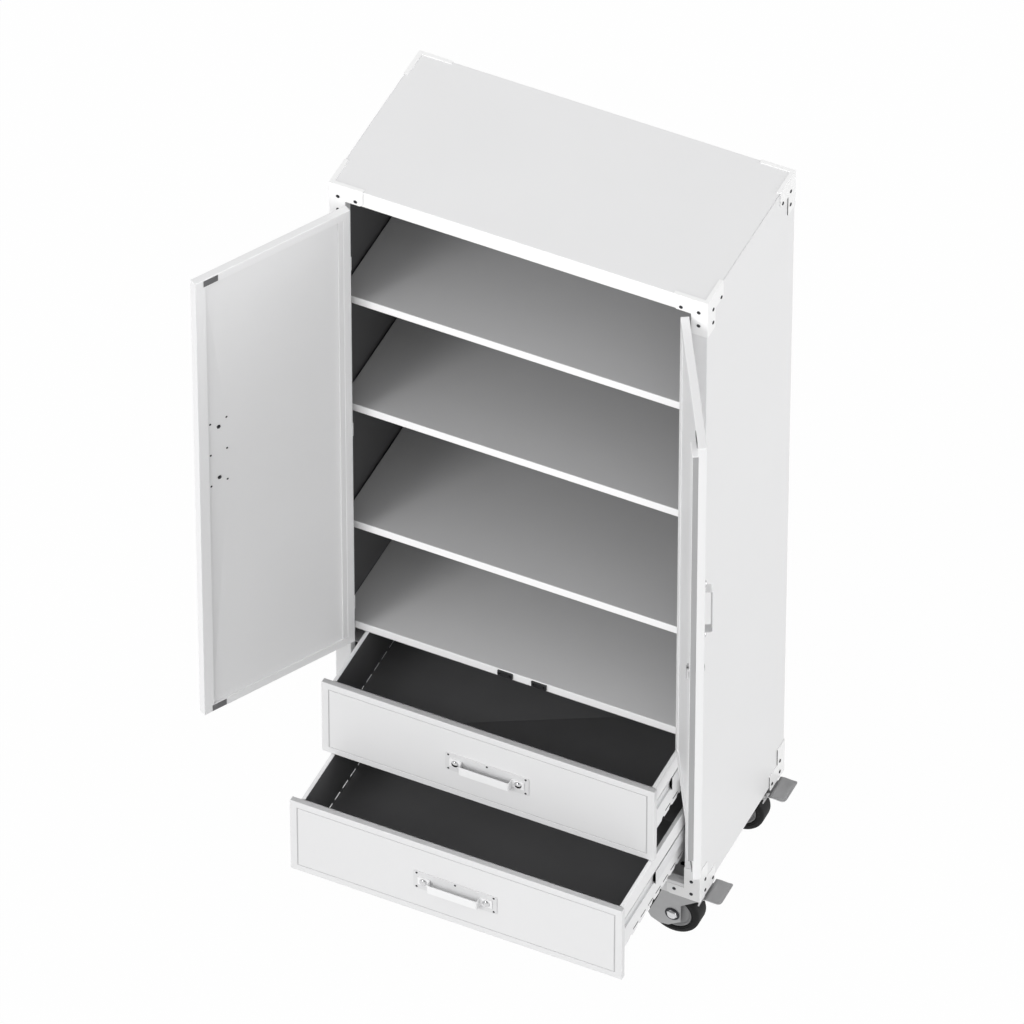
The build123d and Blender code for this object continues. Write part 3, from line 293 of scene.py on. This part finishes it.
# Coats that belong to one place, most of them painted shade: inner walls, back, liners, drawer fronts, grooves,
# channel side, top returns, bracket ends, shelves and deck are darker copies of the white coat where shade falls,
# and the pull plate partly so
coats = {
    # innerWallShade and innerBackShade are dark grey and near-black painted shade for the inside of the bays
    "innerWallShade": finish("innerWallShadeCoat", (0.105, 0.105, 0.107), powder, rough=0.5, specular=0.3, cloudSpan=0.05),
    "innerBackShade": finish("innerBackShadeCoat", (0.045, 0.045, 0.046), powder, rough=0.55, specular=0.25, cloudSpan=0.05),
    # liner is a little darker than the white coat, as painted shade for the door recesses
    "liner": finish("linerPowderCoat", (0.775, 0.775, 0.78), powder, rough=0.45, specular=0.35, cloud=2.0),
    # The drawer front coat is darker than the white coat, as painted shade
    "front": finish("drawerFrontShadeCoat", (0.72, 0.72, 0.725), powder, cloud=2.4, cloudSpan=0.02),
    "groove": finish("grooveShade", (0.5, 0.5, 0.505), powder, rough=0.55, specular=0.2, cloud=8.0, cloudSpan=0.06),
    "channel": finish("channelShade", (0.37, 0.37, 0.375), powder, rough=0.5, specular=0.3, cloud=4.0,
                      cloudSpan=0.06),
    "topReturnShade": finish("topReturnShadeCoat", (0.5, 0.5, 0.505), edging),
    "seam": finish("seamShade", (0.1, 0.1, 0.102), edging, rough=0.6, specular=0.2),
    # shelfShade and deck are darker copies of the white coat, painted shade on the bay floors
    "shelfShade": finish("shelfShadeCoat", (0.51, 0.51, 0.515), powder),
    "deck": finish("deckShadeCoat", (0.62, 0.62, 0.625), powder),
    # The pull plate is a grey coat, darkened partly as painted shade behind the bail
    "plate": finish("pullPlateCoatAndShade", (0.66, 0.66, 0.665), pulls),
    # The pull coat is the bail's own, and is also painted light on the pedals' front faces
    "pull": finish("pullCoatAndEdgeLight", (0.82, 0.82, 0.825), pulls, rough=0.4, specular=0.45),
}

for name, node in nodes.items():
    node.data.materials.clear()
    node.data.materials.append(finishes[slotOf[name]])
print("finishes given")

# Dressing of a folded sheet: wide faces meet in a rounded fold, cut edges only lose their burr.
# Lengths are millimetres and angles degrees, here and below. Faces under flatArea are shaded smooth
dressing = {"weld": 0.001, "flat": 0.6, "turn": 32.0, "wide": 3.2, "foldSteps": 3, "profile": 0.5, "burr": 0.22,
            "least": 1.5, "flatArea": 300.0, "sharp": 35.0}
facing = {"tilted": 0.5, "straight": 0.9, "exact": 0.99}  # least share of a face's normal that points one way


def newPiece(name, mesh, materials, node, sharp=dressing["sharp"]):
    piece = bpy.data.objects.new(name, mesh)
    scene.collection.objects.link(piece)
    for material in materials:
        mesh.materials.append(material)
    smoothBelow = dressing["flatArea"] * millimetre ** 2
    mesh.polygons.foreach_set("use_smooth", [face.area < smoothBelow for face in mesh.polygons])
    mesh.set_sharp_from_angle(angle=math.radians(sharp))
    weighted = piece.modifiers.new("evenNormals", "WEIGHTED_NORMAL")
    weighted.keep_sharp = True
    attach(piece, bodyOf[node])
    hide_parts(node)


def faceSpan(face, edge):
    along = (edge.verts[1].co - edge.verts[0].co).normalized()
    across = face.normal.cross(along)
    reach = [across.dot(vertex.co) for vertex in face.verts]
    return max(reach) - min(reach)


def sharpEdges(shape, turn, least):
    found = []
    for edge in shape.edges:
        if len(edge.link_faces) == 2 and edge.is_convex and edge.calc_length() > least:
            if edge.calc_face_angle(0) > turn:
                found.append(edge)
    return found


def rounded(shape, edges, offset, segments, clamped):
    bmesh.ops.bevel(shape, geom=edges, offset=offset * millimetre, offset_type="OFFSET", segments=segments,
                    profile=dressing["profile"], affect="EDGES", clamp_overlap=clamped)


# Flat faces are joined within quarters of the part, so that no face closes a ring over an opening
def softened(node, fold, burr):
    shape = bmesh.new()
    shape.from_mesh(nodes[node].data)
    bmesh.ops.remove_doubles(shape, verts=shape.verts, dist=dressing["weld"] * millimetre)
    middle = sum((vertex.co for vertex in shape.verts), Vector()) / len(shape.verts)
    for face in shape.faces:
        spot = face.calc_center_median() - middle
        face.material_index = (spot.x > 0) + 2 * (spot.y > 0)
    bmesh.ops.dissolve_limit(shape, angle_limit=math.radians(dressing["flat"]), verts=shape.verts,
                             edges=shape.edges, delimit={"MATERIAL"})
    for face in shape.faces:
        face.material_index = 0
    turn = math.radians(dressing["turn"])
    folds = []
    for edge in sharpEdges(shape, turn, fold * 2 * millimetre):
        if all(faceSpan(face, edge) > dressing["wide"] * fold * millimetre for face in edge.link_faces):
            folds.append(edge)
    if folds and fold:
        rounded(shape, folds, fold, dressing["foldSteps"], False)
    rounded(shape, sharpEdges(shape, turn, dressing["least"] * millimetre), burr, 1, True)
    mesh = bpy.data.meshes.new(node + "Dressed")
    shape.to_mesh(mesh)
    shape.free()
    return mesh


# Each patch is a coat and a test that says which faces it covers
def dress(node, fold, burr=dressing["burr"], base=None, patches=(), piece=None):
    mesh = softened(node, fold, burr)
    for face in mesh.polygons:
        for index, (coat, covers) in enumerate(patches, 1):
            if covers(face):
                face.material_index = index
    coatings = [base or finishes[slotOf[node]], *(coat for coat, covers in patches)]
    newPiece(piece or node + "Sheet", mesh, coatings, node)


# Turned parts: one profile of (radius, height) spun on each seat
def axes(direction):
    along = Vector(direction).normalized()
    side = along.orthogonal().normalized()
    return side, along.cross(side), along


def turned(shape, seats, profile, steps, coat=0):
    made = []
    for origin, direction in seats:
        side, other, along = axes(direction)
        rings = []
        for radius, height in profile:
            middle = Vector(origin) + along * height
            if radius == 0:
                rings.append([shape.verts.new(middle * millimetre)])
                continue
            ring = []
            for step in range(steps):
                angle = math.tau * step / steps
                offset = side * math.cos(angle) * radius + other * math.sin(angle) * radius
                ring.append(shape.verts.new((middle + offset) * millimetre))
            rings.append(ring)
        for low, high in zip(rings, rings[1:]):
            for step in range(steps):
                following = (step + 1) % steps
                if len(low) == 1:
                    made.append(shape.faces.new((low[0], high[step], high[following])))
                elif len(high) == 1:
                    made.append(shape.faces.new((low[step], low[following], high[0])))
                else:
                    made.append(shape.faces.new((low[step], low[following], high[following], high[step])))
    for face in made:
        face.material_index = coat


def closeShape(shape, name, weld=0.0):
    if weld:
        bmesh.ops.remove_doubles(shape, verts=shape.verts, dist=weld * millimetre)
    bmesh.ops.recalc_face_normals(shape, faces=shape.faces)
    mesh = bpy.data.meshes.new(name)
    shape.to_mesh(mesh)
    shape.free()
    return mesh


dome = {"steps": 6, "edge": 0.25}  # edge is the share of a head's rise that stands straight


def domeProfile(radius, rise, edge=dome["edge"]):
    profile = [(0.0, 0.0), (radius, 0.0), (radius, rise * edge)]
    for step in range(1, dome["steps"] + 1):
        angle = math.pi / 2 * step / dome["steps"]
        across = radius * math.cos(angle) if step < dome["steps"] else 0.0
        profile.append((across, rise * (edge + (1 - edge) * math.sin(angle))))
    return profile


# The body's sizes as in the CAD, and bracket rivets: round heads with a soft crown, tails inside
body = {"width": 900.0, "depth": 458.0, "height": 1866.0, "plate": 2.0, "sheet": 1.2}
rivet = {"near": 20.0, "far": 62.0, "sideNear": 25.5, "sideFar": 67.6, "topFront": (32.5, 71.5),
         "topSide": (37.5, 76.5), "bottomFront": (19.5, 59.0), "bottomSide": (17.5, 52.5), "head": 4.4, "rise": 2.1,
         "steps": 20, "tail": 2.9, "tailRise": 1.4, "grip": {-1: 3.2, 1: 4.4}}


def rivetSeats(end):
    seats = []
    half = body["width"] / 2
    deep = body["depth"] / 2
    for sideX in (-1, 1):
        if end < 0:
            for sideY in (-1, 1):
                near = sideY * (deep - rivet["sideNear"])
                far = sideY * (deep - rivet["sideFar"])
                high, middle = (body["height"] - drop for drop in rivet["topSide"])
                low, upper = rivet["bottomSide"]
                for y, z in ((near, high), (far, high), (near, middle), (near, low), (far, low), (near, upper)):
                    seats.append(((sideX * (half + body["plate"]), y, z), (sideX, 0, 0)))
        near = sideX * (half - rivet["near"])
        far = sideX * (half - rivet["far"])
        high, middle = (body["height"] - drop for drop in rivet["topFront"])
        low, upper = rivet["bottomFront"]
        for x, z in ((near, high), (far, high), (near, middle), (near, low), (far, low), (near, upper)):
            seats.append(((x, end * (deep + body["plate"]), z), (0, end, 0)))
    return seats


def buildRivets(piece):
    shape = bmesh.new()
    for end, grip in rivet["grip"].items():
        seats = rivetSeats(end)
        turned(shape, seats, domeProfile(rivet["head"], rivet["rise"]), rivet["steps"])
        tails = [(Vector(origin) - Vector(way) * grip, -Vector(way)) for origin, way in seats]
        turned(shape, tails, domeProfile(rivet["tail"], rivet["tailRise"]), rivet["steps"])
    newPiece(piece, closeShape(shape, piece), [finishes["dark_rivet"]], "bracket_rivets")


buildRivets("bracketRivetHeads")
print("rivets built")

# Folded sheets and small metal parts with one finish: fold radius of each
sheetFolds = {"bottom_rail": 1.5, "base_pan": 1.2, "left_door_pan": 2.0, "right_door_pan": 2.0,
              "slide_carriers": 1.0, "outer_slides": 0.8, "upper_middle_slides": 0.8, "lower_middle_slides": 0.8,
              "upper_inner_slides": 0.7, "lower_inner_slides": 0.7, "shelf_clips": 1.0, "left_door_strikes": 0.0,
              "right_door_strikes": 0.0, "frame_hinges": 0.0, "left_door_hinges": 0.0, "right_door_hinges": 0.0,
              "lock_cylinder": 0.0, "lock_cam": 0.0, "caster_plates": 0.0, "caster_bolts": 0.0}
for name, fold in sheetFolds.items():
    dress(name, fold)

# Side panels and back get painted shade on the inside of the body, dark coats standing in for the shade inside the
# bays; the faces that show outside keep their own coat
wall = {"near": 0.5, "fold": 1.8, "shelfFold": 1.5}


def facesFront(face):
    return face.normal.y < -facing["straight"]


def onInnerWall(face):
    inner = (body["width"] / 2 - body["sheet"]) * millimetre
    away = abs(abs(face.center.x) - inner)
    return abs(face.normal.x) > facing["straight"] and away < wall["near"] * millimetre


def onRearFlange(face):
    return facesFront(face) and face.center.y > 0


for name in ("left_side_panel", "right_side_panel"):
    dress(name, wall["fold"], patches=[(coats["innerWallShade"], onInnerWall), (coats["innerBackShade"], onRearFlange)])
dress("back_panel", 0.0, patches=[(coats["innerBackShade"], facesFront)])
# The front faces of the top panel, deck and shelves get the brighter bracket coat as painted light
dress("top_panel", wall["fold"], patches=[(finishes["bracket_coat"], facesFront)])
for name, coat in (("deck", "deck"), ("adjustable_shelves", "shelfShade")):
    dress(name, wall["shelfFold"], base=coats[coat], patches=[(finishes["bracket_coat"], facesFront)])

# The cut ends of the corner brackets' arms get a near-black painted shade, drawn as thin dark lines
bracket = {"fold": 0.9, "near": 0.3}


def onPlate(face):
    outside = (body["width"] / 2 + body["plate"]) * millimetre
    front = (body["depth"] / 2 + body["plate"]) * millimetre
    near = bracket["near"] * millimetre
    onSide = abs(face.normal.x) > facing["exact"] and abs(abs(face.center.x) - outside) < near
    onFront = abs(face.normal.y) > facing["exact"] and abs(abs(face.center.y) - front) < near
    onTop = face.normal.z > facing["exact"] and face.center.z > (body["height"] + body["plate"] / 2) * millimetre
    return onSide or onFront or onTop


def onShadedCutEnd(face):
    upright = max(abs(face.normal.x), abs(face.normal.y)) > facing["exact"]
    awayX = abs(abs(face.center.x) - body["width"] / 2 * millimetre)
    awayY = abs(abs(face.center.y) - body["depth"] / 2 * millimetre)
    return upright and min(awayX, awayY) < body["plate"] * millimetre and not onPlate(face)


dress("corner_brackets", bracket["fold"], patches=[(coats["seam"], onShadedCutEnd)])
print("sheets dressed")

# Door liners and the closing channel, whose open side is in shade. far and handleFromEdge run from the hinge
door = {"x": 411.0, "y": -232.0, "open": 120.0, "skin": 3.0, "thick": 19.0, "recess": 6.0, "far": 409.5,
        "handleZ": 1277.5, "handleFromEdge": 56.0, "linerFold": 1.6, "channelFold": 1.8}
# The door liners get the slightly darker liner coat, painted shade for the recess
for name in ("left_door_liner", "right_door_liner"):
    dress(name, door["linerFold"], base=coats["liner"])


def onChannelSide(face):
    turn = math.radians(door["open"] - 180)
    return face.normal.dot(Vector((math.cos(turn), math.sin(turn), 0))) > facing["straight"]


dress("edge_channel", door["channelFold"], patches=[(coats["channel"], onChannelSide)])
print("liners dressed")

# Drawers: charcoal inside the box, white outside it, and a front with a pressed groove and a top return. The front's
# coat is darker than the white coat as painted shade, and the groove and the top return get painted shade
drawer = {"lower": {"base": 43.5, "pull": 328.5}, "upper": {"base": 265.5, "pull": 160.5}}
drawerSizes = {"height": 219.0, "thick": 15.0, "length": 415.0, "front": -229.0, "boxMiddle": 8.5,
               "boxHalf": 387.7, "floor": 69.5, "rim": 1.6, "fold": 1.0, "frontFold": 1.8,
               "groove": (0.5, 1.4), "near": 0.1}


def dressDrawerBox(name, place):
    front = drawerSizes["front"] - place["pull"] + drawerSizes["thick"]
    middle = Vector((drawerSizes["boxMiddle"], front + drawerSizes["length"] / 2, 0)) * millimetre
    rim = (place["base"] + drawerSizes["height"] - drawerSizes["rim"]) * millimetre
    floor = (place["base"] + drawerSizes["floor"] + body["sheet"] / 2) * millimetre
    inner = (drawerSizes["boxHalf"] - body["sheet"] / 2) * millimetre

    def isInside(face):
        inward = face.normal.dot(Vector((middle.x - face.center.x, middle.y - face.center.y, 0)))
        upright = abs(face.normal.z) < facing["tilted"]
        within = abs(face.center.x - middle.x) < inner and floor < face.center.z < rim
        return within and ((upright and inward > 0) or face.normal.z > facing["tilted"])

    dress(name + "_drawer_box", drawerSizes["fold"], base=finishes["white_coat"],
          patches=[(finishes["drawer_coat"], isInside)], piece=name + "DrawerBox")


def dressDrawerFront(name, place):
    front = (drawerSizes["front"] - place["pull"]) * millimetre
    low, high = (front + depth * millimetre for depth in drawerSizes["groove"])
    top = (place["base"] + drawerSizes["height"] - drawerSizes["near"]) * millimetre

    def inGroove(face):
        return low < face.center.y < high and facesFront(face)

    def onTopReturn(face):
        return face.normal.z > facing["straight"] and face.center.z > top

    dress(name + "_drawer_front", drawerSizes["frontFold"], base=coats["front"],
          patches=[(coats["groove"], inGroove), (coats["topReturnShade"], onTopReturn)])


for name, place in drawer.items():
    dressDrawerBox(name, place)
    dressDrawerFront(name, place)
print("drawers dressed")

# Magnetic catches: moulded cases with two bright screws each, at these places left and right of the middle
catch = {"screws": (29.0, 54.0), "near": 1.0, "area": 25.0, "burr": 0.5}


def onScrew(face):
    small = face.area < catch["area"] * millimetre ** 2
    away = min(abs(abs(face.center.x) - place * millimetre) for place in catch["screws"])
    return facesFront(face) and small and away < catch["near"] * millimetre


dress("magnet_catches", 0.0, catch["burr"], patches=[(finishes["bright_fastener"], onScrew)])
print("catches dressed")

# Pull handles: a back plate with round corners and a bail bent from flat strip
handle = {"plateLength": 206.0, "plateHeight": 54.0, "plate": 2.0, "corner": 5.0, "bail": 125.0, "strip": 2.0,
          "stripHeight": 23.5, "reach": 21.5, "foot": 29.5, "bends": (3.0, 4.0, 4.0, 3.0), "bendSteps": 5,
          "burr": 0.45, "burrSteps": 2, "burrTurn": 60.0, "bolts": 77.5, "rivetAlong": 95.0, "rivetUp": 21.5,
          "dome": 9.0, "domeRise": 5.5, "domeEdge": 0.12, "domeSteps": 28, "rivetHead": 2.7, "rivetRise": 1.3,
          "rivetSteps": 14, "drawerDrop": 5.5, "drawerGrip": 1.5, "nutSides": 6,
          "nut": ((0.0, 0.0), (5.0, 0.0), (5.0, 2.1), (4.3, 2.6), (2.6, 2.6), (2.6, 3.0), (0.0, 3.0))}


def doorPoint(side, u, w, z):
    turn = math.radians(door["open"]) * side
    along = (math.cos(turn) * -side * u, math.sin(turn) * -side * u)
    return (side * door["x"] + along[0] - math.sin(turn) * w, door["y"] + along[1] + math.cos(turn) * w, z)


# A seat turns (along the handle, out of the face, across the handle) into a place on the part
def drawerSeat(name):
    place = drawer[name]
    front = drawerSizes["front"] - place["pull"]
    height = place["base"] + drawerSizes["height"] / 2 - handle["drawerDrop"]
    return lambda a, b, c: (a, front - b, height + c)


def doorSeat(side):
    middle = door["far"] - door["handleFromEdge"]
    return lambda a, b, c: doorPoint(side, middle + c, door["skin"] - b, door["handleZ"] + a)


def bentLine(points, bends, steps):
    line = [Vector(points[0])]
    for before, corner, after, radius in zip(points, points[1:], points[2:], bends):
        into = (Vector(corner) - Vector(before)).normalized()
        out = (Vector(after) - Vector(corner)).normalized()
        start = Vector(corner) - into * radius
        middle = start + out * radius
        for step in range(steps + 1):
            angle = math.pi / 2 * step / steps
            line.append(middle - out * radius * math.cos(angle) + into * radius * math.sin(angle))
    line.append(Vector(points[-1]))
    return line


def addTube(shape, rows):
    for row, following in zip(rows, rows[1:]):
        for index in range(len(row)):
            turn = (index + 1) % len(row)
            shape.faces.new((row[index], row[turn], following[turn], following[index]))


def addBail(shape, seat):
    half = handle["bail"] / 2 - handle["strip"] / 2
    low = handle["plate"] + handle["strip"] / 2
    high = handle["reach"] - handle["strip"] / 2
    end = handle["bail"] / 2 + handle["foot"]
    corners = ((-end, low), (-half, low), (-half, high), (half, high), (half, low), (end, low))
    line = bentLine(corners, handle["bends"], handle["bendSteps"])
    rows = []
    for index, point in enumerate(line):
        before = line[max(index - 1, 0)]
        after = line[min(index + 1, len(line) - 1)]
        way = (after - before).normalized()
        aside = Vector((-way.y, way.x)) * handle["strip"] / 2
        row = []
        for side, up in ((1, -1), (1, 1), (-1, 1), (-1, -1)):
            spot = point + aside * side
            place = seat(spot.x, spot.y, up * handle["stripHeight"] / 2)
            row.append(shape.verts.new(Vector(place) * millimetre))
        rows.append(row)
    addTube(shape, rows)
    shape.faces.new(rows[0])
    shape.faces.new(rows[-1][::-1])
    for face in shape.faces:
        face.material_index = 1


def addBackPlate(shape, seat):
    radius = handle["corner"]
    halfLength = handle["plateLength"] / 2 - radius
    halfHeight = handle["plateHeight"] / 2 - radius
    loops = []
    for height in (0.0, handle["plate"]):
        loop = []
        for quarter, (sx, sy) in enumerate(((1, 1), (-1, 1), (-1, -1), (1, -1))):
            for step in range(handle["bendSteps"] + 1):
                angle = math.pi / 2 * (quarter + step / handle["bendSteps"])
                along = sx * halfLength + radius * math.cos(angle)
                across = sy * halfHeight + radius * math.sin(angle)
                loop.append(shape.verts.new(Vector(seat(along, height, across)) * millimetre))
        loops.append(loop)
    addTube(shape, loops)
    for loop in loops:
        shape.faces.new(loop)


def buildPull(seat, piece, node):
    shape = bmesh.new()
    addBail(shape, seat)
    addBackPlate(shape, seat)
    bmesh.ops.recalc_face_normals(shape, faces=shape.faces)
    edges = sharpEdges(shape, math.radians(handle["burrTurn"]), 0)
    rounded(shape, edges, handle["burr"], handle["burrSteps"], True)
    newPiece(piece, closeShape(shape, piece), [coats["plate"], coats["pull"]], node)


# Bolt heads and rivet heads in front, nuts and rivet tails at the back of the sheet that grip is thick
def buildPullBolts(seat, piece, node, grip):
    shape = bmesh.new()
    outward = Vector(seat(0, 1, 0)) - Vector(seat(0, 0, 0))
    spots = [(a, c) for a in (-1, 0, 1) for c in (-1, 1)]
    bolts = [(seat(end * handle["bolts"], handle["plate"] + handle["strip"], 0), outward) for end in (-1, 1)]
    heads = [(seat(a * handle["rivetAlong"], handle["plate"], c * handle["rivetUp"]), outward) for a, c in spots]
    nuts = [(seat(end * handle["bolts"], -grip, 0), -outward) for end in (-1, 1)]
    tails = [(seat(a * handle["rivetAlong"], -grip, c * handle["rivetUp"]), -outward) for a, c in spots]
    rivetProfile = domeProfile(handle["rivetHead"], handle["rivetRise"])
    boltProfile = domeProfile(handle["dome"], handle["domeRise"], handle["domeEdge"])
    turned(shape, bolts, boltProfile, handle["domeSteps"])
    turned(shape, heads, rivetProfile, handle["rivetSteps"], 1)
    turned(shape, nuts, handle["nut"], handle["nutSides"], 1)
    turned(shape, tails, rivetProfile, handle["rivetSteps"], 1)
    newPiece(piece, closeShape(shape, piece), [finishes["bright_fastener"], finishes["dark_rivet"]], node)


doorGrip = door["thick"] - door["recess"] + body["sheet"]
seats = [(name + "Drawer", name + "_drawer", drawerSeat(name), handle["drawerGrip"]) for name in drawer]
seats += [(name + "Door", name + "_door", doorSeat(side), doorGrip) for side, name in ((-1, "left"), (1, "right"))]
for piece, node, seat, grip in seats:
    buildPull(seat, piece + "Pull", node + "_handle")
    buildPullBolts(seat, piece + "PullBolts", node + "_handle_bolts", grip)
print("handles built")

# Casters: moulded tyre and hub, pressed fork, domed axle nuts. Profiles are (radius, place along the axle)
caster = {"rightX": 373.0, "leftX": -400.0, "y": 176.5, "axle": -94.0, "forkFace": 29.0, "steps": 96, "weld": 0.01,
          "sharp": 28.0, "swivelFold": 1.6, "rigidFold": 1.2, "forkBurr": 0.4, "pedalBurr": 0.5,
          "tyre": ((44.0, -22.5), (45.2, -24.4), (46.4, -24.4), (47.0, -23.6), (48.4, -23.6), (49.2, -25.0),
                   (53.5, -25.0), (56.9, -24.3), (59.9, -22.4), (61.8, -19.4), (62.5, -16.0), (62.5, -6.0),
                   (62.5, 0.0)),
          "hub": ((6.1, -26.1), (13.4, -26.1), (15.0, -25.0), (15.0, -19.5), (16.2, -17.6), (18.6, -17.0),
                  (34.5, -17.0), (37.2, -17.8), (38.8, -19.6), (40.6, -21.0), (43.2, -21.0), (44.0, -20.2),
                  (44.0, 0.0)),
          "washer": ((0.0, 0.0), (17.5, 0.0), (18.0, 0.5), (18.0, 1.2), (17.5, 1.7), (0.0, 1.7)),
          "nut": ((0.0, 1.7), (13.6, 1.7), (13.6, 2.8), (13.0, 3.4), (0.0, 3.4)),
          "cap": ((0.0, 3.0), (11.8, 3.0), (11.4, 4.6), (10.2, 6.0), (8.3, 7.2), (5.8, 8.0), (3.0, 8.4), (0.0, 8.5)),
          "washerSteps": 40, "nutSteps": 6, "capSteps": 32}


def mirrored(profile):
    return list(profile) + [(radius, -height) for radius, height in reversed(profile[:-1])] + [profile[0]]


def buildWheel(x, y, prefix, name):
    seat = [((x, y, caster["axle"]), (0, 1, 0))]
    for kind, node, piece in (("tyre", prefix + "_tyre", name + "Tyre"), ("hub", prefix + "_hub", name + "Hub")):
        shape = bmesh.new()
        turned(shape, seat, mirrored(caster[kind]), caster["steps"])
        mesh = closeShape(shape, piece, caster["weld"])
        newPiece(piece, mesh, [finishes[slotOf[node]]], node, caster["sharp"])


def buildAxleNuts(places, piece, node):
    shape = bmesh.new()
    for x, y in places:
        for end in (-1, 1):
            seat = [((x, y + end * caster["forkFace"], caster["axle"]), (0, end, 0))]
            # Each washer gets the blackened finish as a painted dark reflection ring around the chrome cap
            turned(shape, seat, caster["washer"], caster["washerSteps"], 1)
            turned(shape, seat, caster["nut"], caster["nutSteps"])
            turned(shape, seat, caster["cap"], caster["capSteps"])
    newPiece(piece, closeShape(shape, piece), [finishes["bright_fastener"], finishes["dark_rivet"]], node)


for end, endName in ((-1, "front"), (1, "rear")):
    y = end * caster["y"]
    buildWheel(caster["rightX"], y, endName + "_right", endName + "Right")
    buildWheel(caster["leftX"], y, endName + "_left", endName + "Left")
    buildAxleNuts([(caster["rightX"], y)], endName + "AxleNuts", endName + "_axle_bolt")
    dress(endName + "_swivel_fork", caster["swivelFold"], caster["forkBurr"])
    # The brake pedals' front faces get the pale pull coat as a painted highlight on their front edge
    dress(endName + "_brake_pedal", 0.0, caster["pedalBurr"], patches=[(coats["pull"], facesFront)])
buildAxleNuts([(caster["leftX"], end * caster["y"]) for end in (-1, 1)], "rigidAxleNuts", "rigid_axle_bolts")
dress("rigid_forks", caster["rigidFold"], caster["forkBurr"])
print("casters built")
